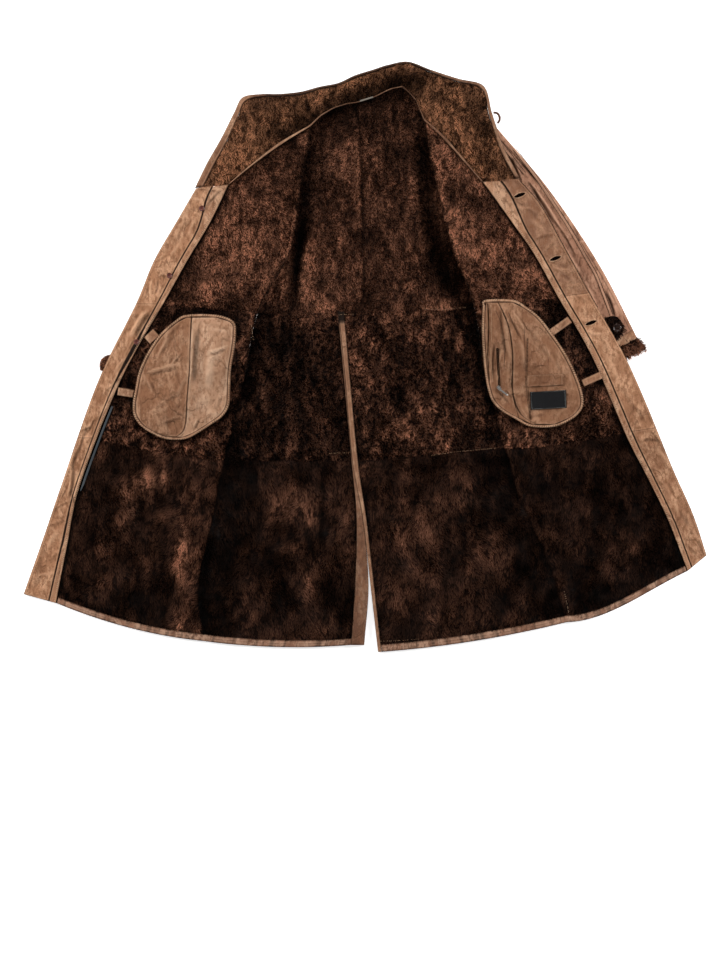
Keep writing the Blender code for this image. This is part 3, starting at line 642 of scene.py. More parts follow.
def seamHeights(points, seams):  # rows: line in mm, ridge's width and height in mm; also painted shade in the grooves beside each ridge
    lift, sunk = np.zeros(len(points)), np.zeros(len(points))
    for line, width, height in seams:
        away, _ = lineAway(points, line)
        lift += height * mm * np.exp(-(away / (width * mm)) ** 4)
        sunk += np.exp(-((away - width * 1.15 * mm) / (0.9 * mm)) ** 2)
    return lift, sunk


def declare(piece, points, count, rows, pile=()):
    grid = np.zeros((count, rows, 3))
    grid[:, :, :points.shape[1]] = points.reshape(count, rows, -1)
    width = np.linalg.norm(np.diff(grid, axis=0), axis=2).sum(0).max()
    length = np.linalg.norm(np.diff(grid, axis=1), axis=2).sum(1).max()
    width, length = min(width, length), max(width, length)
    one = grid[1:, 1:] - grid[:-1, :-1]
    other = grid[1:, :-1] - grid[:-1, 1:]
    area = np.linalg.norm(np.cross(one, other), axis=2).sum() / 2
    layer = sum(polygon.area for polygon in piece.data.polygons) / 2
    width = max(width * layer / area, 0.0102)  # what rolls over an edge is cut wider
    area = float(np.clip(layer, 0.301 * width * length, width * length))
    list(pile)


# the leather's relief, and the crease depth and height at which its painted shade and painted highlight are full
leatherRelief = {
    "broad": 0.03, "fine": 0.012, "calm": 0.006, "fullShadeDepth": 0.0026, "fullHighlightHeight": 0.0014, "least": 0.0006,
}


def leatherPiece(name, finish, slotName, plan, across, along, floor, thick, nodes, creases=(), wobble=0.0008,
                 radius=0.0012, sides=("first", "last", "start", "end"), seed=1, seams=(), shade=None, tint=0.0,
                 edgeShadeWidth=0.0014, sheet=True):
    A, B = (g.ravel() for g in np.meshgrid(across, along, indexing="ij"))
    points = plan(A, B)
    count, rows = len(across), len(along)
    edge = nearest(edgeDistances(points, count, rows), sides)

    def relief(where):
        lift = creaseHeights(where, creases) + seamHeights(where, seams)[0]
        broad = wobble * fieldNoise(where, leatherRelief["broad"], seed, 3)
        return lift, lift + broad + wobble * fieldNoise(where, leatherRelief["fine"], seed + 9, 1)

    lift, rise = relief(points)
    base = floor(points)
    high = base + thick + rise * smooth(edge / leatherRelief["calm"]) - edgeDrop(edge, radius)
    high = np.maximum(high, base + leatherRelief["least"])
    bottom, top = np.column_stack([points, base]), np.column_stack([points, high])
    mesh, _, every = wallMesh(name, bottom, top, count, rows)
    # painted shade: darker in creases, beside seam ridges, along the edges and wherever shade adds more
    sunk = np.clip(-lift / leatherRelief["fullShadeDepth"], 0, 1) * 0.62 + 0.6 * (1 - smooth(edge / edgeShadeWidth))
    sunk = sunk + 0.7 * seamHeights(points, seams)[1]
    if shade:
        sunk = sunk + shade(A, B)
    # painted highlight: lighter on raised creases and in a band just inside the edges
    worn = np.clip(lift / leatherRelief["fullHighlightHeight"], 0, 1) + np.exp(-((edge - edgeShadeWidth * 1.6) / 0.0010) ** 2) * 0.6
    worn = worn * (1 - np.clip(sunk, 0, 1))
    setValues(mesh, "sunk", np.clip(sunk, 0, 1)[every])
    setValues(mesh, "worn", np.clip(worn, 0, 1)[every])
    setValues(mesh, "tint", np.broadcast_to(tint(points) if callable(tint) else tint, count * rows)[every])
    piece = settle(newPiece(name, mesh, [finish]), slotName, *nodes)
    if sheet:
        declare(piece, points, count, rows)

    def over(where):  # height of the finished face
        return floor(where) + thick + relief(where)[1]

    return over


# Geometry Nodes, and the stitches they set in rows


def newTree(name, output, inputs):
    tree = bpy.data.node_groups.new(name, "GeometryNodeTree")
    for label, kind in inputs.items():
        tree.interface.new_socket(label, in_out="INPUT", socket_type="NodeSocket" + kind)
    tree.interface.new_socket(output, in_out="OUTPUT", socket_type="NodeSocketGeometry")
    nodes = Nodes(tree)
    entry = tree.nodes.new("NodeGroupInput")
    return nodes, {socket.name: Link(nodes, socket) for socket in entry.outputs if socket.name}


def endTree(nodes, instances, finish):
    real = nodes.node("GeometryNodeRealizeInstances", {}, {"Geometry": instances})
    done = nodes.node("GeometryNodeSetMaterial", {}, {"Geometry": real, "Material": finish})
    leave = nodes.tree.nodes.new("NodeGroupOutput")
    nodes.tree.links.new(done.socket, leave.inputs[0])
    return nodes.tree


def useNodes(source, tree, values):
    modifier = source.modifiers.new("nodes", "NODES")
    modifier.node_group = tree
    for socket in tree.interface.items_tree:
        if getattr(socket, "in_out", "") == "INPUT" and socket.name in values:
            modifier[socket.identifier] = values[socket.name]
    graph = bpy.context.evaluated_depsgraph_get()
    mesh = bpy.data.meshes.new_from_object(source.evaluated_get(graph))
    source.modifiers.remove(modifier)
    return mesh


stitchRows = {}


def sew(kind, line, over, pitch, turn, size, lift=0.15, jitter=0.12, seed=3, shift=0.5):
    line = np.asarray(line, float)
    steps = np.concatenate([[0], np.linalg.norm(np.diff(line, axis=0), axis=1).cumsum()])
    count = int(steps[-1] / (pitch * mm))
    if count < 1:
        return
    random = np.random.default_rng(seed)
    at = (np.arange(count) + shift + jitter * (random.random(count) - 0.5)) * steps[-1] / count

    def spots(where):
        return np.column_stack([np.interp(where, steps, line[:, k]) for k in (0, 1)])

    points = spots(at)
    run = spots(at + 0.001) - spots(at - 0.001)
    angle = np.arctan2(run[:, 1], run[:, 0]) + radians(turn) + jitter * (random.random(count) - 0.5) * 2
    height = over(points) + lift * mm
    long = size[0] * (1 + jitter * (random.random(count) - 0.5))
    rows = [points - middle, height, np.cos(angle), np.sin(angle), long, np.full(count, size[1])]
    stitchRows.setdefault(kind, []).append(np.column_stack(rows))


def stitchTree():
    nodes, given = newTree("stitching", "Sewn", {"Marks": "Geometry", "Stitch": "Object", "Finish": "Material"})
    turned = nodes.node("FunctionNodeAlignRotationToVector", {"axis": "X"},
                        {"Vector": nodes.stored("run", "FLOAT_VECTOR")})
    one = nodes.node("GeometryNodeObjectInfo", {}, {"Object": given["Stitch"]}, "Geometry")
    placed = nodes.node("GeometryNodeInstanceOnPoints", {}, {
        "Points": given["Marks"], "Instance": one, "Rotation": turned,
        "Scale": nodes.stored("size", "FLOAT_VECTOR")})
    return endTree(nodes, placed, given["Finish"])


def stitchObject():
    mesh = bpy.data.meshes.new("stitch")
    points = [(-0.5, 0, -0.2), (-0.2, 0.45, 0), (-0.2, 0, 0.45), (-0.2, -0.45, 0),
              (0.2, 0.45, 0), (0.2, 0, 0.45), (0.2, -0.45, 0), (0.5, 0, -0.2)]
    faces = [(0, 2, 1), (0, 3, 2), (7, 4, 5), (7, 5, 6), (1, 2, 5, 4), (2, 3, 6, 5), (0, 1, 4, 7, 6, 3)]
    mesh.from_pydata(points, [], faces)
    shadeSmooth(mesh)
    return newObject("stitch", mesh)


def sewAll():
    stitch, tree = stitchObject(), stitchTree()
    for kind, groups in stitchRows.items():
        rows = np.concatenate(groups)
        marks = bpy.data.meshes.new(kind)
        marks.from_pydata(rows[:, :3].tolist(), [], [])
        setVectors(marks, "run", np.column_stack([rows[:, 3:5], rows[:, 3] * 0]))
        setVectors(marks, "size", rows[:, [5, 6, 6]] * mm)
        source = newObject("marks", marks)
        sewn = useNodes(source, tree, {"Stitch": stitch, "Finish": finishes[kind]})
        bpy.data.objects.remove(source)
        sewn.name = "stitches_" + kind
        settle(newObject(sewn.name, sewn), "binding")
    bpy.data.objects.remove(stitch)


# Plans of the cut pieces


def frontPlan(side):
    table = fronts[side]
    skew = skews[side]

    def plan(across, at):
        edge, facing, fold = (splineAt(table[:, k:k + 2], at) for k in (0, 2, 4))
        outer = edge + (facing - edge) * np.clip(across, 0, 1)[:, None]
        u = np.clip(across - 1, 0, 1)
        inner = facing + (fold - facing) * u[:, None]
        inner[:, 1] -= splineAt(table[:, 6], at) * 4 * u * (1 - u) * (1 + skew * (2 * u - 1))
        return np.where((across <= 1)[:, None], outer, inner)

    return plan


def ventLine(xColumn, yColumn):
    return np.stack([vent[:, xColumn], vent[:, yColumn]], 1)


def backPlan(side):
    centre = ventLine(1, 0) if side == "left" else ventLine(4, 5)
    fold, sags = fronts[side][:, 4:6], vent[:, 6]

    def plan(across, at):
        point = splineAt(centre, at) + (splineAt(fold, at) - splineAt(centre, at)) * across[:, None]
        point[:, 1] -= splineAt(sags, at) * 4 * across * (1 - across)
        return point

    return plan


def lineAt(line, share):
    at = np.clip(share, 0, 1) * (len(line) - 1)
    i = np.minimum(at.astype(int), len(line) - 2)
    return line[i] + (line[i + 1] - line[i]) * (at - i)[:, None]


def upperPlan(side):
    centre, outer, line = upperBack["centre"], upperBack[side], topLines[side]

    def plan(across, at):
        row = at - 5
        point = splineAt(centre, row) + (splineAt(outer, row) - splineAt(centre, row)) * across[:, None]
        straight = centre[-1] + (outer[-1] - centre[-1]) * across[:, None]
        return point + (lineAt(line, across) - straight) * smooth(row - 2)[:, None]

    return plan


def neckLine():
    stops = np.linspace(1, 2, 9)
    left, right = frontPlan("left")(stops, np.full(9, 8.0)), frontPlan("right")(stops, np.full(9, 8.0))
    return np.concatenate([left, topLines["left"][3::-1], topLines["right"][1:5], right[::-1]])


neck = neckLine()


def collarPlan(across, along):
    share = across / (len(neck) - 1)
    rimPoint = splineAt(rim[:, :2], share * (len(rim) - 1))
    start = lineAt(neck, share)
    clear = 0.0006 / np.linalg.norm(rimPoint - start, axis=1)
    return start + (rimPoint - start) * (clear + (1 - clear) * along)[:, None]


def bandShare(across):
    width = splineAt(rim[:, 2], across / (len(neck) - 1) * (len(rim) - 1))
    ones = np.ones(len(across))
    return 1 - width / np.linalg.norm(collarPlan(across, ones) - collarPlan(across, ones * 0), axis=1)


def sleevePlan(side):
    upper = upperPlan(side)
    away = -0.001 if side == "left" else 0.001
    outer, inner = sleeves[side][:, :2], sleeves[side][:, 2:]

    def plan(share, along):
        head = upper(np.ones(len(share)), 8 - share * 2) + np.array((away, 0))
        lines = [head] + [outer[i] + (inner[i] - outer[i]) * share[:, None] for i in range(1, 4)]
        stacked = np.stack(lines)
        at = along * 3
        i = np.clip(at.astype(int), 0, 2)
        t = (at - i)[:, None]
        pick = np.arange(len(share))
        here, after = stacked[i, pick], stacked[i + 1, pick]
        before = np.where((i == 0)[:, None], here * 2 - after, stacked[np.maximum(i - 1, 0), pick])
        beyond = np.where((i == 2)[:, None], after * 2 - here, stacked[np.minimum(i + 2, 3), pick])
        return between(before, here, after, beyond, t)

    return plan


def signedPower(value, power):
    return np.abs(value) ** power * np.where(value >= 0, 1, -1)


def sleeveSection(side, angle, along, inner, more=0.0):
    plan, half = sleevePlan(side), layers["sleeve"] / 2
    wide, tall = signedPower(np.cos(angle), 2 / 3.5), signedPower(np.sin(angle), 2 / 3.5)
    width = np.linalg.norm(plan(np.ones(len(angle)), along) - plan(np.zeros(len(angle)), along), axis=1)
    if inner:
        reach = (width / 2 - layers["skin"]) / (width / 2)
        height = half + np.where(tall >= 0, 1, -1) * (0.0002 + np.abs(tall) * 0.0002)
    else:
        reach = 1 + more / (width / 2)
        height = np.clip(half + tall * half * 1.08, 0, 2 * half) + more * 0.25 * (1 + tall)
    return plan(0.5 + 0.5 * wide * reach, along), height


# The pile: a dark padded skin for each panel, and strands set on it by nodes

# Strands a square metre; length and width in mm; lean from upright in degrees; scatter; curl and its size in mm;
# contrast of strands; locks between thin gaps in mm; lumps; cracks; broad and fine tone; the fine one's mm
pileKinds = {
    "lower": {"density": 400e3, "long": 7.5, "wide": 1.7, "lean": 54, "scatter": 0.22, "curl": 0.7, "size": 20,
              "streak": 0.80, "lock": 11.0, "lumps": 1.0, "cracks": 0.35, "noise": (0.95, 0.60), "grain": 14},
    "middle": {"density": 420e3, "long": 6.0, "wide": 1.7, "lean": 40, "scatter": 0.40, "curl": 1.8, "size": 8,
               "streak": 1.15, "lock": 9.0, "lumps": 1.5, "cracks": 0.9, "noise": (0.85, 0.80), "grain": 11},
    "upper": {"density": 450e3, "long": 5.6, "wide": 1.6, "lean": 42, "scatter": 0.34, "curl": 1.1, "size": 7,
              "streak": 0.80, "lock": 8.0, "lumps": 1.5, "cracks": 0.60, "noise": (0.80, 0.55), "grain": 9},
    "collar": {"density": 430e3, "long": 6.6, "wide": 1.6, "lean": 46, "scatter": 0.28, "curl": 1.1, "size": 10,
               "streak": 0.75, "lock": 9.0, "lumps": 1.3, "cracks": 0.45, "noise": (0.90, 0.40), "grain": 11},
    "rolled": {"density": 420e3, "long": 4.0, "wide": 1.6, "lean": 50, "scatter": 0.3, "curl": 0.6, "size": 8,
               "streak": 0.7, "lock": 7.0, "lumps": 1.0, "cracks": 0.3, "noise": (0.3, 0.3), "grain": 12},
    "trim": {"density": 420e3, "long": 9.5, "wide": 2.0, "lean": 50, "scatter": 0.9, "curl": 1.5, "size": 8,
             "streak": 1.0, "lock": 7.0, "lumps": 1.0, "cracks": 0.5, "noise": (0.3, 0.5), "grain": 12},
}
glows = {  # how light each panel's strands are
    "front_lower_left": 0.041, "front_lower_right": 0.026,
    "front_middle_left": 0.105, "front_middle_right": 0.110,
    "front_upper_left": 0.400, "front_upper_right": 0.380,
    "back_lower_left": 0.038, "back_lower_right": 0.052,
    "back_middle_left": 0.085, "back_middle_right": 0.165,
    "back_upper_left": 0.250, "back_upper_right": 0.205,
    "collar": 0.420, "trim_right": 0.30, "trim_left": 0.620, "cuff_tab": 0.05,
}
folds = [  # valleys and rolls in the pile: x, y, turn, length, width, height, bow
    (-262, -320, 80, 460, 18, -3.6, 8), (-322, -400, 80, 190, 13, 3.4, 4), (-300, -200, 62, 120, 13, 1.6, 4),
    (262, -270, -68, 430, 15, -3.2, 6), (312, -290, -68, 330, 13, 2.4, 4),
    (-131, 238, 82, 280, 16, -3.4, -6), (-96, 185, 82, 190, 8, 3.4, 6), (-160, 250, 82, 200, 10, 1.6, -4),
    (106, 262, -82, 190, 14, -3.0, 4), (144, 144, -62, 150, 15, -3.6, 0), (168, 165, -58, 150, 10, 2.4, 4),
    (-90, 60, 88, 100, 9, -1.5, 0), (60, 190, 80, 160, 9, -1.3, 8), (20, 130, 86, 120, 10, 1.0, -5),
    (-60, 250, 100, 170, 10, -1.2, 6), (-72, -276, 88, 110, 6, -2.0, 4), (-94, -325, -74, 80, 6, -2.2, 4),
    (-40, -330, 94, 220, 10, 1.4, -5), (-113, -262, 80, 90, 20, 2.2, 4), (-100, -400, 70, 80, 16, 2.0, 4),
    (110, -330, 92, 260, 14, -1.4, 10), (170, -300, 100, 240, 12, 1.3, -6), (60, -320, 86, 200, 11, -1.2, 5),
    (-388, -216, 30, 80, 18, 2.4, 4), (-350, -260, 70, 200, 16, -1.6, 8), (-420, -300, 62, 200, 15, 1.4, 8),
    (-460, -340, 60, 150, 12, -1.2, 0), (400, -250, -52, 220, 16, -1.5, 8), (455, -300, -55, 180, 14, 1.3, -6),
    (350, -200, -40, 120, 13, -1.2, 6), (-215, 160, 60, 150, 12, -1.4, -6), (-240, 270, 50, 120, 11, -1.0, 0),
    (175, 260, -60, 160, 12, -1.4, 6), (215, 180, -45, 130, 12, 1.2, -5), (225, 230, -58, 120, 10, -1.0, 4),
]
tones = [  # where strands look lighter or darker: x, y, turn, half length, half width, strength; the lighter patches are painted sheen where the nap lies towards the light, the darker ones painted shade in the valleys by the folds, at the armholes and round the standing collar, and some darken the back seam's line
    (-388, -216, 25, 36, 24, 2.0), (-319, -335, 82, 70, 15, 2.0), (-321, -455, 84, 50, 15, 1.9),
    (-367, -162, 10, 34, 14, 1.3), (-283, -150, 30, 36, 18, 0.9), (-416, -94, -40, 30, 16, 0.8),
    (-340, -270, 50, 50, 20, 0.8), (-430, -280, 70, 60, 22, 0.8), (-455, -395, 20, 50, 14, 0.6),
    (-454, -160, 70, 42, 13, 1.3), (-260, 118, 20, 40, 22, 0.5), (-345, -400, 84, 90, 12, -0.5),
    (-490, -340, 60, 90, 20, -0.5),
    (-113, -260, 60, 40, 36, 1.7), (-125, -333, 10, 34, 14, 1.3), (-97, -402, 80, 42, 20, 1.7),
    (-94, -325, -74, 34, 4, -1.8), (-73, -276, 90, 50, 5, -1.6), (-150, -420, 80, 40, 14, -0.5),
    (-30, -330, 88, 120, 16, 0.5), (-160, -260, 80, 60, 14, 0.6),
    (150, -276, 80, 80, 36, 0.8), (95, -400, 70, 50, 30, 0.6), (60, -250, 85, 60, 16, 0.6),
    (215, -330, 80, 90, 14, 0.5),
    (237, 176, -40, 74, 60, 0.35), (342, -276, -60, 80, 50, 0.6), (385, -260, -55, 50, 10, 1.0),
    (470, -330, 20, 40, 12, 1.1), (440, -375, 20, 40, 14, 0.9), (310, -180, -60, 60, 20, 0.7),
    (420, -190, -50, 50, 14, 0.6), (300, -140, 10, 40, 16, 0.5),
    (-116, 175, 83, 86, 8, -3.6), (-98, 320, 84, 80, 13, -1.4), (-93, 175, 84, 70, 7, 1.3),
    (105, 325, -84, 70, 11, -1.5), (114, 240, -70, 60, 13, -1.0), (144, 144, -60, 60, 17, -1.9),
    (90, 250, -80, 90, 9, 0.5),
    (0, 405, 10, 90, 24, -0.6), (-50, 180, 84, 120, 22, 0.3),
    (-3, 110, 86, 60, 2.5, -1.2), (-3, 250, 91, 160, 2.2, -1.1), (-232, -320, 80, 200, 30, -0.9),
    (250, -275, -68, 210, 18, -1.0),
    (-150, -30, 80, 90, 26, -0.7), (185, -20, 90, 80, 14, -0.9), (20, -10, 0, 60, 40, 0.2),
    (-300, 190, 60, 30, 16, -0.7), (-305, 140, 60, 34, 20, -0.9), (-225, 90, 40, 30, 20, -0.4),
    (-45, 30, 60, 40, 22, 0.6), (-90, 85, 0, 60, 12, 0.5), (130, 60, 30, 40, 30, 0.4),
    (-235, 330, 40, 40, 26, 0.35), (-200, 425, 0, 30, 14, -0.3), (-120, 395, 40, 50, 14, -0.8),
    (-40, 440, 20, 60, 20, -1.0), (40, 470, 10, 60, 20, -1.7), (130, 450, -30, 50, 12, -0.6),
    (210, 340, -60, 30, 18, -0.9), (205, 420, -70, 60, 28, -0.45), (-20, 455, 15, 40, 22, -0.4),
    (80, 494, 0, 50, 16, -0.4), (170, 400, -50, 50, 24, 0.3), (190, 200, -65, 90, 10, 0.4),
]


def toneAt(points, name, look, seed):
    broad, fine = look["noise"]
    low = 1 + 0.25 * smooth((-0.15 - points[:, 1]) / 0.05)
    value = np.log(glows[name]) + patchValues(points, tones) * low
    value += 1.5 * broad * fieldNoise(points, 0.070, seed, 3)
    value += 2.2 * fine * fieldNoise(points * np.array((1.0, 0.5)), look["grain"] * mm, seed + 31, 2)
    split = fieldNoise(points * np.array((1.0, 0.55)), look["grain"] * 0.0019, seed + 47, 2)
    crack = np.exp(-(split / 0.06) ** 2)
    return np.clip(np.exp(value - 1.5 * look["cracks"] * crack), 0.0015, 0.75), crack


def napAt(points, look, seed):
    turn = radians(-90) + 1.1 * fieldNoise(points, 0.07, seed + 60)
    turn = turn + 0.6 * fieldNoise(points, 0.02, seed + 61)
    lean = radians(look["lean"]) + 0.35 * fieldNoise(points, 0.03, seed + 62, 2)
    return np.column_stack([np.sin(lean) * np.cos(turn), np.sin(lean) * np.sin(turn), np.cos(lean)])


def pileTree():
    sizes = ("Density", "Length", "Width", "Scatter", "Curl", "Curls", "Streak", "Locks")
    inputs = {"Skin": "Geometry", "Strand": "Object", **dict.fromkeys(sizes, "Float"), "Seed": "Int"}
    nodes, given = newTree("pile", "Pile", {**inputs, "Finish": "Material"})

    def random(low, high, offset, kind="FLOAT"):
        first, second, out = (0, 1, 0) if kind == "FLOAT_VECTOR" else (2, 3, 1)
        inputs = {first: low, second: high, "Seed": given["Seed"] + offset}
        return nodes.node("FunctionNodeRandomValue", {"data_type": kind}, inputs, out)

    place = nodes.node("GeometryNodeInputPosition")
    points = nodes.node("GeometryNodeDistributePointsOnFaces", {"distribute_method": "RANDOM"},
                        {"Mesh": given["Skin"], "Density": nodes.stored("cover") * given["Density"],
                         "Seed": given["Seed"]})
    swirl = nodes.node("ShaderNodeTexNoise", {}, {"Vector": place, "Scale": given["Curls"], "Detail": 1.0}, 1)
    swirl = nodes.scaled(nodes.vector("SUBTRACT", swirl, (0.5, 0.5, 0.5)), given["Curl"])
    swirl = nodes.vector("MULTIPLY", swirl, (2.0, 2.0, 1.0))
    jitter = nodes.scaled(random((-1.0,) * 3, (1.0,) * 3, 1, "FLOAT_VECTOR"), given["Scatter"])
    way = nodes.vector("ADD", nodes.vector("ADD", nodes.stored("nap", "FLOAT_VECTOR"), jitter), swirl)
    across = nodes.vector("ADD", nodes.vector("CROSS_PRODUCT", (0.0, 0.0, 1.0), way), jitter)
    turned = nodes.node("FunctionNodeAlignRotationToVector", {"axis": "Z"}, {"Vector": way})
    turned = nodes.node("FunctionNodeAlignRotationToVector", {"axis": "X", "pivot_axis": "Z"},
                        {"Rotation": turned, "Vector": across})
    size = nodes.node("ShaderNodeCombineXYZ", {}, {
        0: given["Width"] * random(0.7, 1.3, 2), 1: given["Length"],
        2: given["Length"] * random(0.7, 1.15, 3) * nodes.stored("tall")})
    blade = nodes.node("GeometryNodeObjectInfo", {}, {"Object": given["Strand"]}, "Geometry")
    grown = nodes.node("GeometryNodeInstanceOnPoints", {},
                       {"Points": points, "Instance": blade, "Rotation": turned, "Scale": size})
    locks = nodes.node("ShaderNodeTexNoise", {}, {
        "Vector": nodes.vector("MULTIPLY", place, (1.0, 0.5, 1.0)), "Scale": given["Locks"], "Detail": 1.5,
        "Distortion": 0.5})
    gaps = nodes.within(nodes.away(locks - 0.5), 0.0, 0.060)
    strand = gaps * 0.66 + random(0.0, 1.0, 4) * 0.34
    strand = (strand - 0.62) * given["Streak"] + 0.62
    marked = nodes.node("GeometryNodeStoreNamedAttribute", {"data_type": "FLOAT", "domain": "INSTANCE"},
                        {"Geometry": grown, "Name": "strand", "Value": strand})
    return endTree(nodes, marked, given["Finish"])


def strandObject():
    mesh = bpy.data.meshes.new("strand")
    mesh.from_pydata([(-0.5, 0, 0), (0.5, 0, 0), (0, 0.1, 1)], [], [(0, 1, 2)])
    shadeSmooth(mesh)
    setValues(mesh, "tip", [0, 0, 1])
    return newObject("strand", mesh)


pileNodes, strand = pileTree(), strandObject()


def planMap(mesh):  # a UV map, OFBake, laid on the panel's own plan
    count = len(mesh.vertices)
    co = np.zeros(count * 3, np.float32)
    mesh.vertices.foreach_get("co", co)
    co = co.reshape(-1, 3)
    low, size = co[:, :2].min(0), np.ptp(co[:, :2], axis=0)
    index = np.zeros(len(mesh.loops), np.int32)
    mesh.loops.foreach_get("vertex_index", index)
    layer = mesh.uv_layers.new(name="OFBake")
    layer.data.foreach_set("uv", ((co[index, :2] - low) / size * 0.98 + 0.01).astype(np.float32).ravel())


def growPile(name, skin, kind, finish, slotName, seed):
    look = pileKinds[kind]
    mesh = useNodes(skin, pileNodes, {
        "Strand": strand, "Density": look["density"], "Length": look["long"] * mm,
        "Width": look["wide"] * mm, "Scatter": look["scatter"], "Curl": look["curl"],
        "Curls": 1000.0 / look["size"], "Streak": look["streak"], "Locks": 1000.0 / look["lock"],
        "Seed": seed, "Finish": finishes[finish]})
    mesh.name = name
    planMap(mesh)
    return settle(newObject(name, mesh), slotName)


def skinAttributes(mesh, every, tone, nap, cover, tall=1.0):
    total = len(tone)
    setValues(mesh, "tone", tone[every])
    setValues(mesh, "tall", np.broadcast_to(tall, total)[every])
    setValues(mesh, "cover", np.broadcast_to(cover, total)[every] * (np.arange(len(every)) < total))
    setVectors(mesh, "nap", nap[every])


def furPanel(name, kind, plan, across, along, floor, seed, finish="fur", shornUnder=1.0, dips=("start", "end"),
             dark=(), lit=0.0, bareWhere=None, pileTop=0.0050, sheet=True):
    look = pileKinds[kind]
    A, B = (g.ravel() for g in np.meshgrid(across, along, indexing="ij"))
    points = plan(A, B)
    count, rows = len(across), len(along)
    away = edgeDistances(points, count, rows)
    edge = nearest(away, ("first", "last", "start", "end"))
    seam = nearest(away, dips)
    bare = A < shornUnder
    if shornUnder > 0:
        grid = points.reshape(count, rows, 2)
        start = np.searchsorted(across, shornUnder)
        reach = np.linalg.norm(np.diff(grid[start:], axis=0), axis=2).cumsum(0)
        inside = np.zeros((count, rows))
        inside[start + 1:] = reach
        away["first"] = inside.ravel()
    tone, crack = toneAt(points, name, look, seed)
    tone = tone * (1 + lit * np.exp(-((away["last"] - 0.009) / 0.010) ** 2))
    # painted shadow: strands darker near the listed edges, beside bindings and seams, and where a front's fold
    # overhangs the back
    for side, reach in dark:
        tone = tone * (1 - 0.88 * np.exp(-(away[side] / reach) ** 2))
    lumps = fieldNoise(points, 0.035, seed) + 0.7 * fieldNoise(points, 0.011, seed + 5)
    lumps = look["lumps"] * mm * lumps - 1.6 * mm * look["cracks"] * crack + creaseHeights(points, folds)
    top = pileTop + lumps * smooth(edge / 0.01) - 0.0016 * (1 - smooth(seam / 0.006)) - edgeDrop(edge, 0.0015)
    thick = np.where(bare, layers["shorn"] - 0.0004, np.clip(top, 0.0016, 0.010))
    low = floor(points)
    mesh, under, every = wallMesh(name + "_skin", np.column_stack([points, low]),
                                  np.column_stack([points, low + thick]), count, rows)
    cover = np.where(bare, 0.0, 1.0)
    if bareWhere is not None:
        cover = cover * (1 - bareWhere(A, B))
    skinAttributes(mesh, every, tone, napAt(points, look, seed), cover, 0.85 + 0.15 * smooth(seam / 0.007))
    plainValues(mesh)
    skin = newPiece(name + "_skin", mesh, [finish + "_skin", "under"])
    mesh.polygons.foreach_set("material_index", under)
    pile = growPile(name + "_pile", skin, kind, finish, finish, seed)
    settle(skin, finish, name)
    if sheet:
        declare(skin, points, count, rows, [pile])
    return skin, pile


def rowStops(first, last, step):  # the tables' rows are about 100 mm apart
    return np.linspace(first, last, max(int((last - first) * 0.1 / step) + 1, 2))


def tapeStrip(A, B):  # the pile is cut away under the stay tape
    return ((A < 1.034) & (B > 2.0) & (B < 3.5)).astype(float)


halfGap, rowGap = -0.002, -0.004  # panels meet without a gap


def layFronts(side, number):
    for index, (tier, (first, last)) in enumerate(tiers.items()):
        across = np.concatenate([np.linspace(0, 0.98, 9), np.linspace(1.0, 2 - halfGap, 84)])
        along = rowStops(first + rowGap, last - rowGap, 0.0032)
        furPanel(f"front_{tier}_{side}", tier, frontPlan(side), across, along, lay,
                 11 + 7 * index + 40 * number,
                 dips=("start", "end", "last") if tier != "upper" else ("start", "end"),
                 dark=(("first", 0.005), ("last", 0.0025)),
                 lit={"lower": 1.5, "middle": 0.9, "upper": 0.4}[tier],
                 bareWhere=tapeStrip if side == "left" else None)


def layBack(side, number):
    across = np.linspace(halfGap, 1 - halfGap, 84)
    # how far the painted shadow under the front's fold reaches over the back
    atFold = {"left": 0.026, "right": 0.020}[side]
    for index, tier in enumerate(("lower", "middle")):
        along = rowStops(tiers[tier][0] + rowGap, tiers[tier][1] - rowGap, 0.0032)
        furPanel(f"back_{tier}_{side}", tier, backPlan(side), across, along, ground,
                 101 + 9 * index + 30 * number, shornUnder=-1, dips=("start", "end", "last"),
                 dark=(("first", 0.003), ("last", atFold)))
    across, along = np.linspace(halfGap, 1 - halfGap, 76), rowStops(5 + rowGap, 8.03, 0.0030)
    furPanel(f"back_upper_{side}", "upper", upperPlan(side), across, along, ground, 151 + number, shornUnder=-1,
             dips=("start", "first"), dark=(("last", 0.016),))


for number, side in enumerate(("left", "right")):
    layFronts(side, number)
    layBack(side, number)
    print("pile on the", side)
around = np.linspace(0.0, len(neck) - 1.0, 170)


def collarFur(across, share):
    return collarPlan(across, share * (bandShare(across) - 0.004))


furPanel("collar", "collar", collarFur, np.linspace(0.0, len(neck) - 1.0, 260), np.linspace(0, 1, 40), lay, 171,
         "collar_fur", shornUnder=-1, dips=("start",), dark=(("start", 0.003),))
print("skins laid")

# Leather: facings, bindings and hem

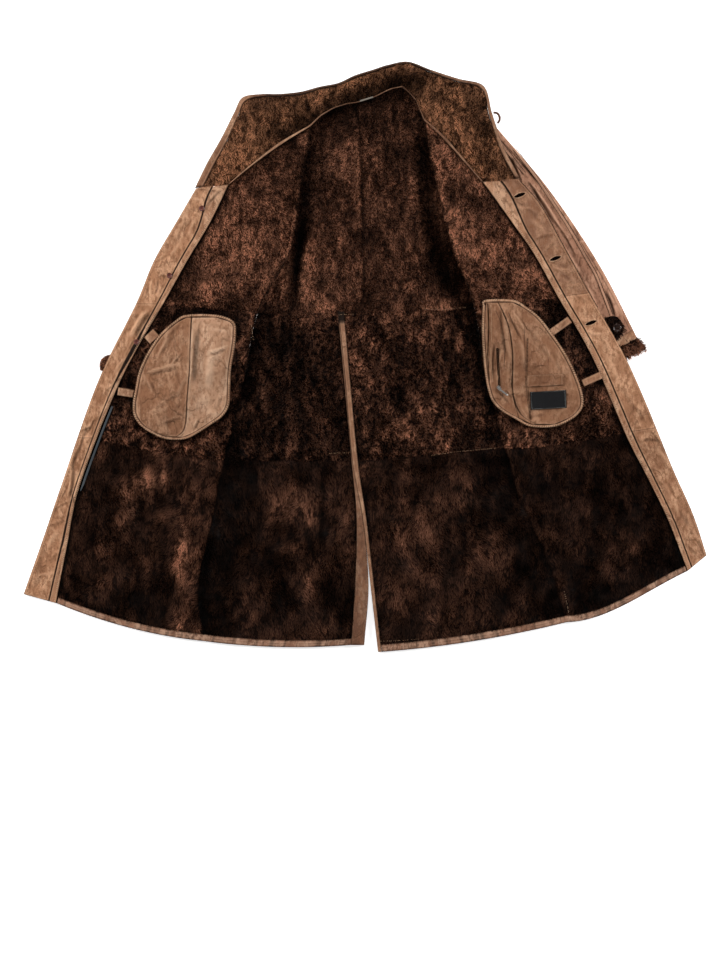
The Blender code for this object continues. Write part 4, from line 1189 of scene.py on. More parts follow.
facingCreases = {  # x, y, turn, length, width, height, bow
    "left": [
        (-270, 288, -8, 50, 2.5, -1.2, 1), (-300, 275, -20, 40, 4, 0.9, 2), (-262, 274, 48, 50, 3, -1.6, 2),
        (-318, 215, 62, 60, 5, -0.8, 3), (-330, 190, 55, 40, 4, 0.9, -2), (-300, 225, 70, 45, 4, 0.7, 2),
        (-350, 170, 30, 35, 3, -0.7, 2), (-355, 150, -10, 30, 3, 0.7, 2), (-371, 120, 85, 36, 3, 1.4, 2),
        (-362, 122, 80, 30, 2.5, -1.4, -2), (-378, 110, 70, 30, 3, -0.8, 1), (-350, 118, 60, 36, 3, -0.8, 2),
        (-384, 54, 59, 66, 6.0, -2.8, 4), (-398, 55, 60, 60, 5, 1.3, 0), (-368, 62, 58, 50, 4, 1.2, 2),
        (-405, 10, 62, 50, 4, -0.9, 3), (-425, -15, 50, 40, 4, 0.8, 2), (-432, -40, 68, 50, 4, -0.9, -2),
        (-445, -75, 64, 50, 5, 0.8, 2), (-452, -100, 55, 40, 4, -0.8, 2), (-484, -128, 20, 26, 3, -1.5, 2),
        (-488, -140, 70, 40, 3.5, -1.7, 2), (-475, -120, 60, 36, 3, -1.1, 0), (-500, -175, 66, 60, 4, -1.9, 4),
        (-513, -218, 84, 64, 3.5, -2.6, -3), (-508, -262, -82, 50, 3.5, -2.3, 3),
        (-522, -205, 74, 70, 5, 1.2, 2),
        (-502, -225, 80, 60, 5, 1.3, 2), (-527, -262, 30, 40, 3, -0.9, 3), (-540, -290, 20, 40, 4, -0.8, -3),
        (-545, -320, 60, 50, 6, 0.9, 3), (-530, -345, 40, 50, 4, -0.8, 4), (-560, -350, 70, 60, 6, -0.9, 3),
        (-555, -380, 10, 36, 4, 0.7, 2), (-570, -395, 60, 40, 4, -0.7, 2),
    ],
    "right": [
        (235, 292, -30, 50, 4, -0.9, 3), (215, 285, -48, 60, 4, -1.1, 3), (232, 272, -52, 50, 4, 1.0, 2),
        (250, 262, -60, 40, 3, -1.1, 2), (275, 262, -10, 32, 5, 1.4, -4), (287, 250, -30, 40, 4, -0.9, 3),
        (302, 225, -45, 50, 6, 0.9, 3), (310, 205, 20, 40, 4, -0.8, 2), (325, 190, 40, 30, 3, -0.7, 2),
        (340, 156, -15, 36, 5, 1.4, -4), (352, 135, -40, 40, 4, -0.8, 2), (362, 122, 10, 30, 4, 0.7, 2),
        (375, 100, -30, 40, 3, -0.7, 2), (400, 44, -10, 34, 5, 1.2, -4), (415, 22, -60, 40, 4, -0.8, 2),
        (430, -20, -65, 60, 6, 0.9, 3), (455, -70, -60, 50, 5, -0.8, 2), (475, -100, -50, 40, 4, -0.8, 3),
        (498, -148, 0, 36, 4, -1.5, 3), (505, -140, -50, 30, 3, -1.2, 2), (490, -155, -60, 30, 3, 0.8, 2),
        (520, -175, -55, 60, 6, 1.0, 3), (515, -215, -60, 70, 5, -0.9, -3), (535, -240, -75, 50, 4, -0.8, 3),
        (540, -255, -70, 60, 5, 1.0, 3), (560, -290, -60, 60, 5, -0.9, 3), (575, -310, -50, 50, 5, 0.9, 3),
        (565, -335, -40, 40, 4, -0.8, 2),
    ],
}
facingTints = {"left": {"lower": 0.0, "middle": 0.0, "upper": 0.0},
               "right": {"lower": 0.30, "middle": 0.12, "upper": 0.78}}
facingTops = {}


def splitAt(at):  # where the strip begins across a facing: it widens to a triangle at the neck
    return 0.76 - 0.28 * smooth((at - 6.5) / 1.4)


def onShorn(points):
    return lay(points) + layers["shorn"] + layers["gap"]


def layFacings(side, number):
    front = frontPlan(side)

    def facingPlan(across, at):
        return front(across * (splitAt(at) - 0.005), at)

    for tier, (first, last) in tiers.items():
        start = 0.0 if tier == "lower" else first
        ends = 8.06 if tier == "upper" else last + 0.003
        across = edged(0.0, 1.0, 32, 0.08)
        along = edged(start - 0.003 * (tier != "lower"), ends, int((last - start) * 62), 0.015)
        over = leatherPiece(f"facing_{tier}_{side}", "leather", "leather", facingPlan, across, along, onShorn,
                            layers["leather"], [f"facing_{tier}_{side}"], facingCreases[side], 0.0012,
                            seed=5 + number, shade=lambda A, B: 0.55 * smooth((A - 0.965) / 0.03),
                            tint=facingTints[side][tier])
        facingTops[side] = over
        rows = np.linspace(max(start, 0.05), last - 0.02, 60)
        inset = 0.0045 / np.linalg.norm(front(np.ones(60), rows) - front(np.zeros(60), rows), axis=1)
        sew("darkThread", front(inset, rows), over, 3.4, 0, (2.4, 0.6), seed=number + 3)
        sew("thread", front(inset * 0.35, rows), over, 5.2, 12, (2.0, 0.45), lift=-0.3, jitter=0.5,
            seed=number + 8)
    return facingPlan


openings = {  # where the fold beside a facing stands open, painted black as shadow: row, how wide, how long
    "left": ((4.22, 0.60, 0.34), (1.3, 0.22, 0.5)), "right": (),
}


def layBinding(side, number, facingPlan):
    front = frontPlan(side)

    def bindingPlan(across, at):
        start = splitAt(at) + 0.008
        return front(start + (0.985 - start) * across, at)

    # painted shadow: black where the fold stands open, darker too toward the binding's outer edge
    def opening(A, B):
        wide = 0.08 + sum(width * np.exp(-((B - row) / long) ** 2) for row, width, long in openings[side])
        return 1.6 * smooth((wide - A) / 0.07 + 0.5) + 0.5 * smooth((A - 0.9) / 0.1)

    name = f"facing_binding_{side}"
    over = leatherPiece(name, "binding", "binding", bindingPlan, edged(0, 1, 9, 0.15),
                        rowStops(0.0017, 7.998, 0.002),
                        onShorn, layers["bound"], [name], facingCreases[side], radius=0.0024, wobble=0.0006,
                        sides=("first", "last"), seed=15 + number, shade=opening)
    rows = np.linspace(0.02, 7.95, 260)
    pale, dark, split, gap = (np.full(260, share) for share in (0.74, 0.72, 1.006, 1.03))
    sew("paleThread", bindingPlan(pale, rows), over, 3.3, 66, (4.0, 0.95), lift=-0.1, seed=21)
    sew("darkThread", bindingPlan(dark, rows), over, 3.3, 66, (3.4, 0.8), lift=-0.25, seed=22, shift=1.0)
    sew("darkThread", facingPlan(split, rows), facingTops[side], 3.4, 0, (3.6, 1.0), lift=-0.7, jitter=0.4,
        seed=24)
    # painted shadow: near-black dashes in the gap between the binding and the pile
    sew("slit", bindingPlan(gap, rows), over, 3.0, 0, (4.2, 1.6), lift=-1.4, jitter=0.3, seed=24)


def layHem(side, number):  # one band along the front's hem and the back's, thinner under the facing
    front, back = frontPlan(side), backPlan(side)

    def hemPlan(across, at):
        onFront, onBack = front(np.minimum(across, 2), at), back(np.clip(3 - across, 0, 1), at)
        return np.where((across <= 2)[:, None], onFront, onBack)

    across = np.concatenate([np.linspace(0.0, 2.0, 170), np.linspace(2.008, 3.0, 150)])
    along = edged(0.0, 0.113, 5, 0.028)
    A, B = (g.ravel() for g in np.meshgrid(across, along, indexing="ij"))
    points = hemPlan(A, B)
    away = edgeDistances(points, len(across), len(along))
    edge = nearest(away, ("start", "end"))
    pleat = fieldNoise(np.column_stack([away["first"], away["first"] * 0]), 0.009, 77 + number)
    tall = np.where(A < 1, layers["shorn"] - 0.0004, layers["hem"]) + 0.0012 * pleat
    high = tall - edgeDrop(edge, 0.0034) * np.where(A < 1, 0.3, 1)
    bottom, top = np.column_stack([points, high * 0]), np.column_stack([points, np.maximum(high, 0.0008)])
    mesh, _, every = wallMesh(f"hem_band_{side}", bottom, top, len(across), len(along))
    # painted shade along the edges and in the pleats' creases; painted highlight on the pleats near the edges
    crease = np.exp(-(pleat / 0.12) ** 2) * 0.8
    sunk = np.clip(0.8 * (1 - smooth(edge / 0.0016)) + crease * smooth(edge / 0.001), 0, 1)
    worn = np.exp(-((edge - 0.0042) / 0.0016) ** 2) * np.clip(pleat * 2 + 0.6, 0, 1)
    setValues(mesh, "sunk", sunk[every])
    setValues(mesh, "worn", worn[every])
    setValues(mesh, "tint", np.zeros(len(every)))
    hem = settle(newPiece(f"hem_band_{side}", mesh, ["hem"]), "leather", f"hem_band_{side}")
    declare(hem, points, len(across), len(along))
    line = hemPlan(np.linspace(1.02, 2.98, 300), np.full(300, 0.096))
    sew("thread", line, lambda p: ground(p) + layers["hem"] - 0.0004, 4.2, 70, (2.2, 0.45), jitter=0.4, seed=31)


for number, side in enumerate(("left", "right")):
    layBinding(side, number, layFacings(side, number))
    layHem(side, number)

ventStrips = {  # its columns in the vent's table, how far its far edge moves in x, and its tint
    "vent_slip": {"columns": (1, 2), "y": 0, "moved": 0.0009, "tint": 0.9},
    "vent_binding": {"columns": (3, 4), "y": 5, "moved": 0.0, "tint": 0.5},
}


def layVent(name, strip):
    one, other = (ventLine(column, strip["y"]) for column in strip["columns"])
    other = other + np.array((strip["moved"], 0))

    def ventPlan(across, at):
        return splineAt(one, at) + (splineAt(other, at) - splineAt(one, at)) * across[:, None]

    over = leatherPiece(name, "binding", "binding", ventPlan, edged(0.0, 0.98, 5, 0.2),
                        rowStops(0.0017, 4.998, 0.003), ground, layers["skin"] + 0.0003, [name], radius=0.0025,
                        wobble=0.0004, sides=("first", "last"), seed=25, tint=strip["tint"], edgeShadeWidth=0.0010,
                        shade=lambda A, B: smooth((B - 4.82) / 0.04))
    rows = np.linspace(0.05, 4.8, 160)
    sew("darkThread", ventPlan(np.full(160, 0.86), rows), over, 3.3, 0, (2.2, 0.5), lift=-0.1, seed=26)


for name, strip in ventStrips.items():
    layVent(name, strip)
print("facings and hem laid")

collarDark, collarPale = -212, 190  # in mm along x, the collar's edge is tan, then dark, then half dark


def collarTint(points):
    dark = smooth((points[:, 0] - collarDark * mm) / 0.02)
    return 0.45 + 0.55 * dark * (1 - 0.6 * smooth((points[:, 0] - collarPale * mm) / 0.02))


def collarBand(across, share):
    start = bandShare(across)
    return collarPlan(across, start + share * (1 - start))


over = leatherPiece("collar_edge", "binding", "leather", collarBand, around, edged(0, 1, 6, 0.18), lay,
                    layers["skin"] - 0.0012, ["collar_edge"], radius=0.002, wobble=0.0005, seed=31,
                    tint=collarTint,
                    shade=lambda A, B: np.where((A > 6.5) & (A < 17.5), 0.55, 0.0))
leftArm = np.linspace(0.05, 5.2, 120)
for share, kind in ((0.35, "darkThread"), (0.72, "darkThread")):
    sew(kind, collarBand(leftArm, np.full(120, share)), over, 3.3, 0, (2.3, 0.5), lift=-0.1, seed=33)


def neckPlan(across, share):
    return collarPlan(across, share * 0.042 - 0.012)


def neckTint(points):
    return 0.35 + 0.6 * smooth((points[:, 0] + 0.12) / 0.04)


neckTop = leatherPiece("neck_strip", "binding", "binding", neckPlan, around, edged(0, 1, 3, 0.3),
                       lambda p: lay(p) + layers["skin"] + layers["gap"], layers["leather"], ["neck_strip"],
                       radius=0.0014, wobble=0.0003, seed=34, edgeShadeWidth=0.0007, tint=neckTint)
sew("thread", collarPlan(around[1:60], np.full(59, 0.018)), neckTop, 3.4, 60, (1.8, 0.5), seed=35)

# Sleeves

sleeveCreases = {
    "left": [(-260, 200, 66, 90, 8, -1.6, 4), (-330, 110, 52, 80, 8, 1.4, 4), (-380, 20, 46, 70, 7, -1.4, 3)],
    "right": [
        (259, 330, -64, 70, 3, -2.2, 3), (294, 288, -56, 50, 3, -1.7, 3), (272, 352, -50, 70, 5, 1.7, 3),
        (308, 262, -58, 90, 3.5, -1.5, 4), (322, 252, -58, 90, 4, 1.4, 3), (345, 208, -58, 90, 3, -1.3, 4),
        (369, 216, -64, 34, 2.5, -1.6, 2), (381, 202, 8, 20, 2.5, 1.5, 0), (357, 165, -60, 110, 5, 1.3, 5),
        (372, 140, -60, 90, 3, -1.3, 4), (390, 112, -60, 70, 4, 1.2, 3), (427, 92, -70, 62, 3.5, -2.6, 3),
        (440, 92, -66, 60, 4, 1.5, 2), (398, 85, -60, 50, 3, -1.4, 3), (408, 160, -60, 90, 4, 1.1, 3),
        (330, 270, -54, 60, 3, 1.0, 2), (285, 322, -50, 60, 3, -1.2, 2),
    ],
}
sleeveSeam = [(262, 362), (284, 333), (307, 302), (328, 270), (347, 241), (368, 206), (386, 174), (403, 144),
              (417, 109), (430, 74)]
sleeveEdgeSeam = [(219, 396), (242, 368), (264, 339), (279, 320)]
sleeveSeams = [(sleeveSeam, 2.4, 1.2), (sleeveEdgeSeam, 1.8, 0.8)]


sleeveWaves = {"height": 0.0009, "length": 0.03, "seed": 41}


def ringPiece(name, side, angles, along, creases=(), seams=(), more=None):
    A, B = (g.ravel() for g in np.meshgrid(angles, along, indexing="ij"))
    extra = more(B) if more else 0.0
    outer, high = sleeveSection(side, A, B, False, extra)
    inner, low = sleeveSection(side, A, B, True)
    count, rows = len(angles), len(along)
    away = edgeDistances(outer, count, rows)
    crown = smooth(np.sin(np.clip(A, 0, pi)) * 3) * (A < pi)
    ridge, groove = seamHeights(outer, seams)
    lift = (creaseHeights(outer, creases) + ridge) * crown
    ends = nearest(away, ("start", "end"))
    waves = sleeveWaves["height"] * fieldNoise(outer, sleeveWaves["length"], sleeveWaves["seed"], 3)
    high = high + lift + crown * (waves - 0.8 * edgeDrop(ends, 0.0012))
    mesh, _, every = wallMesh(name, np.column_stack([inner, low]), np.column_stack([outer, high]), count, rows)
    made = bmesh.new()
    made.from_mesh(mesh)
    bmesh.ops.recalc_face_normals(made, faces=made.faces[:])
    if made.calc_volume(signed=True) < 0:
        bmesh.ops.reverse_faces(made, faces=made.faces[:])
    made.to_mesh(mesh)
    made.free()
    # painted shade in creases, at the ends and beside the seam ridges, darker too where the two pieces meet;
    # painted highlight on raised creases
    sunk = np.clip(-lift / 0.0024, 0, 1) * 0.75 + 0.5 * (1 - smooth(ends / 0.0015)) + groove * crown * 0.3
    seamAngle = np.minimum(np.abs(A - angles[0]), np.abs(A - angles[-1]))
    sunk = sunk + 0.5 * (1 - smooth(seamAngle / 0.02))
    setValues(mesh, "sunk", np.clip(sunk, 0, 1)[every])
    setValues(mesh, "worn", np.clip(lift / 0.0014, 0, 1)[every])
    setValues(mesh, "tint", np.zeros(len(every)))
    return mesh, outer, high, (count, rows), every


def hiddenByFront(points, side):
    table = fronts[side]
    edge = np.interp(points[:, 1], table[:, 1], table[:, 0])
    return points[:, 0] > edge + 0.002 if side == "left" else points[:, 0] < edge - 0.002


sleeveLines = {"left": (40, 110), "right": (84, 230)}  # lines round the top and along it
cuffFurs = {  # kind of pile; end along the sleeve; where it starts to swell, and how far
    "left": {"kind": "rolled", "end": 1.045, "begin": 0.3, "swell": 0.008},
    "right": {"kind": "trim", "end": 1.010, "begin": 0.0, "swell": 0.003},
}


def sleeveAngles(side):
    seam, end = sleeveParts["seam"], 0.001
    top = [[end, 0.1, 0.2, 0.35, 0.5], np.linspace(0.65, 2.4, sleeveLines[side][0]), [2.5, 2.56, seam - 0.008]]
    under = [[seam + 0.008, 2.68, 2.75, 2.85], np.linspace(2.95, 2 * pi - end, 30)]
    return {"top": np.concatenate(top), "under": np.concatenate(under)}


def laySleeve(side, angles):
    along = np.linspace(0, sleeveParts["end"], sleeveLines[side][1])
    seams = sleeveSeams if side == "right" else []
    for part in ("top", "under"):
        name = f"sleeve_{part}_{side}"
        mesh, outer, high, shape, _ = ringPiece(name, side, angles[part], along, sleeveCreases[side], seams)
        sleeve = settle(newPiece(name, mesh, ["sleeve"]), "leather", name)
        declare(sleeve, np.column_stack([outer, high]), *shape)


def layCuff(side, angles):
    look = cuffFurs[side]
    whole = np.concatenate([angles["top"][:-1], angles["under"][1:]])
    band = np.linspace(sleeveParts["end"] - 0.002, sleeveParts["cuff"], 9)
    mesh, *_ = ringPiece("cuff_band", side, whole, band)
    settle(newPiece(f"cuff_band_{side}", mesh, ["binding"]), "leather", f"cuff_band_{side}")

    def swell(along):
        t = (along - sleeveParts["cuff"]) / (sleeveParts["trim"] - sleeveParts["cuff"])
        return look["swell"] * np.sin(pi * np.clip((t - look["begin"]) / (1 - look["begin"]), 0, 1))

    stops = np.linspace(sleeveParts["cuff"] - 0.002, look["end"], 12)
    mesh, outer, _, _, every = ringPiece("trim", side, whole, stops, more=swell)
    mesh.name = f"cuff_fur_{side}_skin"
    tone, _ = toneAt(outer, "trim_" + side, pileKinds[look["kind"]], 205)
    normals = np.zeros(len(mesh.vertices) * 3, np.float32)
    mesh.vertices.foreach_get("normal", normals)
    normals = normals.reshape(-1, 3)[:len(outer)]
    run = sleeves[side][3, :2] - sleeves[side][2, :2]
    nap = normals * 0.6 + np.array((*(run / np.linalg.norm(run)), 0.0)) * 0.7
    bare = hiddenByFront(outer, side) | (normals[:, 2] < -0.2)
    skinAttributes(mesh, every, tone, nap, np.where(bare, 0.0, 1.0))
    skin = newPiece(f"cuff_fur_{side}_skin", mesh, ["fur_skin"])
    growPile(f"cuff_fur_{side}_pile", skin, look["kind"], "fur", "fur", 203)
    settle(skin, "fur", f"cuff_fur_{side}")


for side in ("left", "right"):
    angles = sleeveAngles(side)
    laySleeve(side, angles)
    layCuff(side, angles)
print("sleeves laid")


def onSleeve(points):
    return ground(points) + layers["sleeve"] + layers["gap"]


def beside(line, away, run):  # a line moved to the left of the way it runs
    run = run / np.linalg.norm(run, axis=1)[:, None]
    return line + np.column_stack([-run[:, 1], run[:, 0]]) * away


def sleeveTop(points):
    lift = creaseHeights(points, sleeveCreases["right"]) + seamHeights(points, sleeveSeams)[0]
    waves = sleeveWaves["height"] * fieldNoise(points, sleeveWaves["length"], sleeveWaves["seed"], 3)
    return layers["sleeve"] + lift + waves


def sewBeside(kind, line, away, *stitch, **settings):  # away in mm
    sew(kind, beside(line, away * mm, np.gradient(line, axis=0)), sleeveTop, *stitch, **settings)


for seamLine in (sleeveSeam, sleeveEdgeSeam):
    finer = splineAt(np.array(seamLine, float), np.linspace(0, len(seamLine) - 1, 60)) * mm
    # painted shade: near-black dashes in the grooves either side of the seam
    for away in (-2.6, 2.6):
        sewBeside("slit", finer, away, 2.4, 0, (3.4, 1.0), lift=0.1, jitter=0.1, seed=44)
    sewBeside("thread", finer, 0.8, 3.4, 0, (2.3, 0.6), lift=0.2, seed=45)
# painted shadow: near-black dashes where the right facing's edge shades the sleeve
outerEdge = frontPlan("right")(np.zeros(160), np.linspace(4.75, 7.95, 160))
sewBeside("slit", outerEdge, -0.8, 2.6, 0, (3.6, 2.6), lift=0.4, jitter=0.3, seed=46)
rightSleeve = sleevePlan("right")


def tabPlan(across, along):  # straight beside the seam, rounded toward the outer edge
    bend = np.sqrt(np.clip(1 - np.abs(along * 2 - 1) ** 2.6, 0.04, 1))
    return rightSleeve(0.25 - 0.16 * across * bend, 0.833 + 0.093 * along)


furPanel("cuff_tab", "trim", tabPlan, np.linspace(0, 1, 12), np.linspace(0, 1, 20), onSleeve, 211,
         shornUnder=-1, dark=(("first", 0.003),), pileTop=0.0016, sheet=False)


# Pocket bags

bagCreases = {
    "left": [
        (-348, -21, 15, 76, 3.2, 1.5, 3), (-350, -29, 13, 60, 3, -1.6, 3), (-329, -7, 46, 30, 3, 1.3, 1),
        (-322, -2, 48, 26, 2.6, -1.3, 1), (-375, -52, -66, 32, 3, 1.2, 2), (-368, -54, -64, 28, 2.6, -1.2, 2),
        (-258, 15, 17, 46, 3, 1.2, -3), (-258, 8, 19, 50, 2.6, -1.4, -3), (-292, 0, 86, 120, 8, -2.6, 2),
        (-268, -20, 84, 90, 10, 1.6, 2), (-291, -118, 63, 22, 3, -1.6, 1), (-340, 20, 55, 50, 5, -1.1, 3),
        (-352, 10, 60, 40, 4, 1.0, 2), (-330, 42, 50, 40, 4, -0.8, 2), (-318, -60, 70, 60, 5, 0.8, 4),
        (-340, -80, 30, 50, 4, -0.9, 3), (-360, -95, 10, 40, 4, 0.8, 2), (-335, -115, 20, 40, 4, -0.8, 2),
        (-250, -80, 60, 40, 4, -0.9, 2), (-240, -60, 70, 50, 4, 0.8, 2), (-255, 45, -10, 40, 4, 0.7, 2),
        (-285, 50, 80, 30, 3, -0.8, 2), (-380, -15, 70, 40, 4, -0.8, 2),
    ],
    "right": [
        (243, 45, -82, 100, 4, -1.6, -4), (252, 30, -84, 90, 4, 1.5, -4), (262, 45, -62, 60, 3, -1.5, 2),
        (268, 60, -58, 50, 3, 1.2, 2), (235, -20, 86, 80, 3.5, 1.3, 2), (226, -10, 88, 90, 3, -1.6, 2),
        (258, -30, 90, 90, 4, -1.1, 3), (272, 10, -80, 80, 5, 0.9, 3), (300, 20, -55, 80, 6, -0.9, 4),
        (315, 5, -50, 70, 6, 0.9, 4), (330, -10, -60, 50, 5, -0.8, 3), (290, -80, -86, 50, 4, -0.9, 2),
        (265, -85, -70, 40, 4, -1.0, 2), (278, -100, -60, 30, 3, 0.9, 2), (240, -70, -50, 40, 3, -1.2, 2),
        (355, -40, -80, 50, 4, 0.8, 3), (300, -105, 10, 50, 4, -0.7, 2), (345, -95, 40, 40, 4, 0.7, 2),
    ],
}
bagSeams = {"left": [], "right": [([(283, 30), (282, -20), (285, -60), (290, -108)], 0.6, 0.0)]}


def onBag(points):
    return lay(points) + layers["skin"] + layers["bagClear"]


def topOfBag(points):
    return onBag(points) + layers["bagWall"] + layers["onBag"]


def bagLoops(side):
    table = bags[side]
    outline = np.concatenate([table[:, [1, 0]], table[::-1, [3, 0]]])
    return outline, beside(outline, layers["bagBinding"], np.roll(outline, -1, 0) - np.roll(outline, 1, 0))


def closedLoop(points, at):  # a smooth line through points that closes on itself
    count = len(points)
    return splineAt(np.concatenate([points[-2:], points, points[:3]]), np.asarray(at) % count + 2)


bagParts = {  # finish and second tint of each half; the left bag's inner half takes the lighter copy, painted light
    "left": {"outer": ("bag", 0.42), "inner": ("innerBag", 0.0)},
    "right": {"side": ("bag", 0.65), "main": ("bag", 0.58)},
}
bagTops = {}


def layBag(side):
    outline, inner = bagLoops(side)
    count = len(bags[side])
    left, right = inner[:count], inner[count:][::-1]
    seams = np.column_stack([bags[side][:, 2], left[:, 1] * 0.5 + right[:, 1] * 0.5])

    def halfPlan(one, other):
        def plan(share, i):
            a, b = splineAt(one, i), splineAt(other, i)
            run = (b - a) / np.linalg.norm(b - a, axis=1)[:, None]
            return (a + run * 0.0003) + (b - a - run * 0.0006) * share[:, None]
        return plan

    for (part, (finish, tint)), (one, other) in zip(bagParts[side].items(), ((left, seams), (seams, right))):
        name = f"bag_{part}_{side}"
        bagTops[part] = leatherPiece(
            name, finish, "bag_leather", halfPlan(one, other), edged(0, 1, 52, 0.03),
            edged(0, count - 1, 130, 0.1), onBag, layers["bagWall"], [name], bagCreases[side], wobble=0.0013,
            radius=0.0014, seed=51, tint=tint, seams=bagSeams[side])

    def ringPlan(share, i):
        return closedLoop(outline, i) + (closedLoop(inner, i) - closedLoop(outline, i)) * share[:, None]

    name = f"bag_binding_{side}"
    over = leatherPiece(name, "binding", "binding", ringPlan, edged(0.05, 1.05, 5, 0.22),
                        np.linspace(0.0, len(outline) - 0.02, 300), onBag, layers["bagWall"] + 0.0006, [name],
                        radius=0.0022, wobble=0.0005, sides=("first", "last"), seed=57, tint=0.15)
    ring = np.linspace(0, len(outline), 420)
    pale, dark, gap = (np.full(420, share) for share in (0.45, 0.50, 1.05))
    sew("paleThread", ringPlan(pale, ring), over, 4.0, 60, (4.8, 1.15), lift=-0.1, seed=58)
    sew("darkThread", ringPlan(dark, ring), over, 4.0, 60, (4.6, 1.05), lift=-0.3, seed=58, shift=1.0)
    sew("darkThread", ringPlan(gap, ring), over, 2.6, 0, (3.2, 0.6), lift=-0.6, jitter=0.5, seed=59)


for side in ("left", "right"):
    layBag(side)
bagLines = [  # seams and gaps drawn on the right bag, the gaps near-black as painted shadow: line in mm, half width in mm, finish
    ([(214, 92), (216, 50), (215, 0), (219, -50)], 1.3, "slit"),
    ([(219, 90), (221, 50), (220, 0), (224, -44)], 0.7, "thread"),
    ([(237, 83), (251, 48), (258, -4), (257, -57), (270, -109)], 0.6, "slit"),
    ([(277, 60), (278, 31), (281, -48), (290, -116)], 0.45, "darkThread"),
    ([(228, 80), (238, 55), (244, 20), (243, -20)], 0.6, "darkThread"),
    ([(250, 76), (262, 48), (267, 36)], 0.6, "darkThread"),
]
for line, wide, kind in bagLines:
    finer = splineAt(np.array(line, float) * mm, np.linspace(0, len(line) - 1, 60))
    sew(kind, finer, bagTops["main"], 2.2, 0, (3.4, wide * 1.6), lift=0.1, jitter=0.1, seed=60)
seamLine = np.column_stack([bags["left"][:, 2], bags["left"][:, 0]])
seamLine = splineAt(seamLine, np.linspace(0.1, 9.4, 80))
# the left bag's seam as a near-black line: painted shadow in the seam
sew("slit", seamLine, bagTops["outer"], 2.2, 0, (3.4, 0.8), lift=-0.1, jitter=0.1)
print("pocket bags laid")

strips = {  # middle x, y, length, width in metres, turn in radians
    "strap_left_upper": (-0.3700, 0.0350, 0.022, 0.016, 0.75),
    "strap_left_lower": (-0.4150, -0.0625, 0.028, 0.014, -0.16),
    "strap_right_upper": (0.3405, 0.0530, 0.040, 0.013, 0.62),
    "strap_right_lower": (0.3955, -0.0390, 0.036, 0.013, 0.42),
    "pen_welt": (0.3140, -0.0410, 0.062, 0.020, 0.05),
    "label": (0.3200, -0.0750, 0.062, 0.031, 0.05),
    "zip_tape": (0.2330, -0.0180, 0.066, 0.0042, -1.51),
    "zip_slider": (0.2350, -0.0540, 0.008, 0.006, -0.9),
    "hanger_loop": (0.0035, 0.4505, 0.024, 0.0028, 0.3),
}


def stripPlan(name):
    x, y, length, width, turn = strips[name]
    along, aside = axes(turn)

    def plan(a, b):
        return np.array((x, y)) + along * length * (a - 0.5)[:, None] + aside * width * (b - 0.5)[:, None]

    return plan


def outlineOf(plan, inset):
    run = np.linspace(inset, 1 - inset, 24)
    low, high = np.full(24, inset), np.full(24, 1 - inset)
    return [plan(run, low), plan(high, run), plan(run[::-1], high), plan(low, run[::-1])]


for name in ("strap_left_upper", "strap_left_lower", "strap_right_upper", "strap_right_lower"):
    plan = stripPlan(name)
    over = leatherPiece(name, "binding", "leather", plan, edged(0, 1, 12, 0.08), edged(0, 1, 8, 0.1), onBag,
                        layers["leather"] - 0.0006, [name], wobble=0.0007, radius=0.001, seed=61, tint=0.25)
    for b in (0.12, 0.88):
        sew("thread", plan(np.linspace(0.05, 0.95, 20), np.full(20, b)), over, 3.2, 0, (2.2, 0.5), seed=62)
    for a in (0.2, 0.8):
        sew("thread", plan(np.full(12, a), np.linspace(0.15, 0.85, 12)), over, 2.8, 0, (2.2, 0.5), seed=63)
patches = {  # finish, slot, thickness, thread and how far in it is sewn
    "pen_welt": ("bag", "bag_leather", 0.0015, "thread", 0.05),
    "label": ("label", "label", 0.0012, "labelEdge", 0.035),
}
for name, (finish, slotName, thick, thread, inset) in patches.items():
    plan = stripPlan(name)
    over = leatherPiece(name, finish, slotName, plan, edged(0, 1, 28, 0.02), edged(0, 1, 14, 0.04), topOfBag,
                        thick, [name], wobble=0.0004, radius=0.0006, seed=64, tint=0.8, edgeShadeWidth=0.0008)
    for line in outlineOf(plan, inset):
        sew(thread, line, over, 1.9, 0, (2.1, 0.55), lift=0.05, seed=65)
leatherPiece("hanger_loop", "ribbon", "binding", stripPlan("hanger_loop"), edged(0, 1, 10, 0.1),
             edged(0, 1, 4, 0.2), lambda p: lay(p) + layers["skin"] + 0.0029, layers["leather"],
             ["hanger_loop"], wobble=0.0002, radius=0.0008, seed=66)

# The zip: a dark gap between the lips of the bag, its teeth, a slider and its puller

zipPlan = stripPlan("zip_tape")
zipTop = leatherPiece("zip_tape", "zipTape", "metal", zipPlan, edged(0, 1, 24, 0.03), edged(0, 1, 6, 0.15),
                      topOfBag, 0.0010, ["zip_tape"], wobble=0.0002, radius=0.0006, seed=67, sheet=False)
teeth = zipPlan(np.linspace(0.02, 0.98, 60), np.full(60, 0.5))
sew("brass", teeth, zipTop, 1.5, 90, (2.0, 0.8), lift=0.2, jitter=0.02, seed=68)


def closedRings(made, rings):  # faces between rings of vertices, and over the last and the first
    for one, other in zip(rings, rings[1:]):
        for k in range(len(one)):
            after = (k + 1) % len(one)
            made.faces.new((one[k], one[after], other[after], other[k]))
    last = made.faces.new(rings[-1])
    made.faces.new(rings[0][::-1])
    return last


def meshOf(made, name):
    bmesh.ops.recalc_face_normals(made, faces=made.faces[:])
    mesh = bpy.data.meshes.new(name)
    made.to_mesh(mesh)
    made.free()
    return mesh


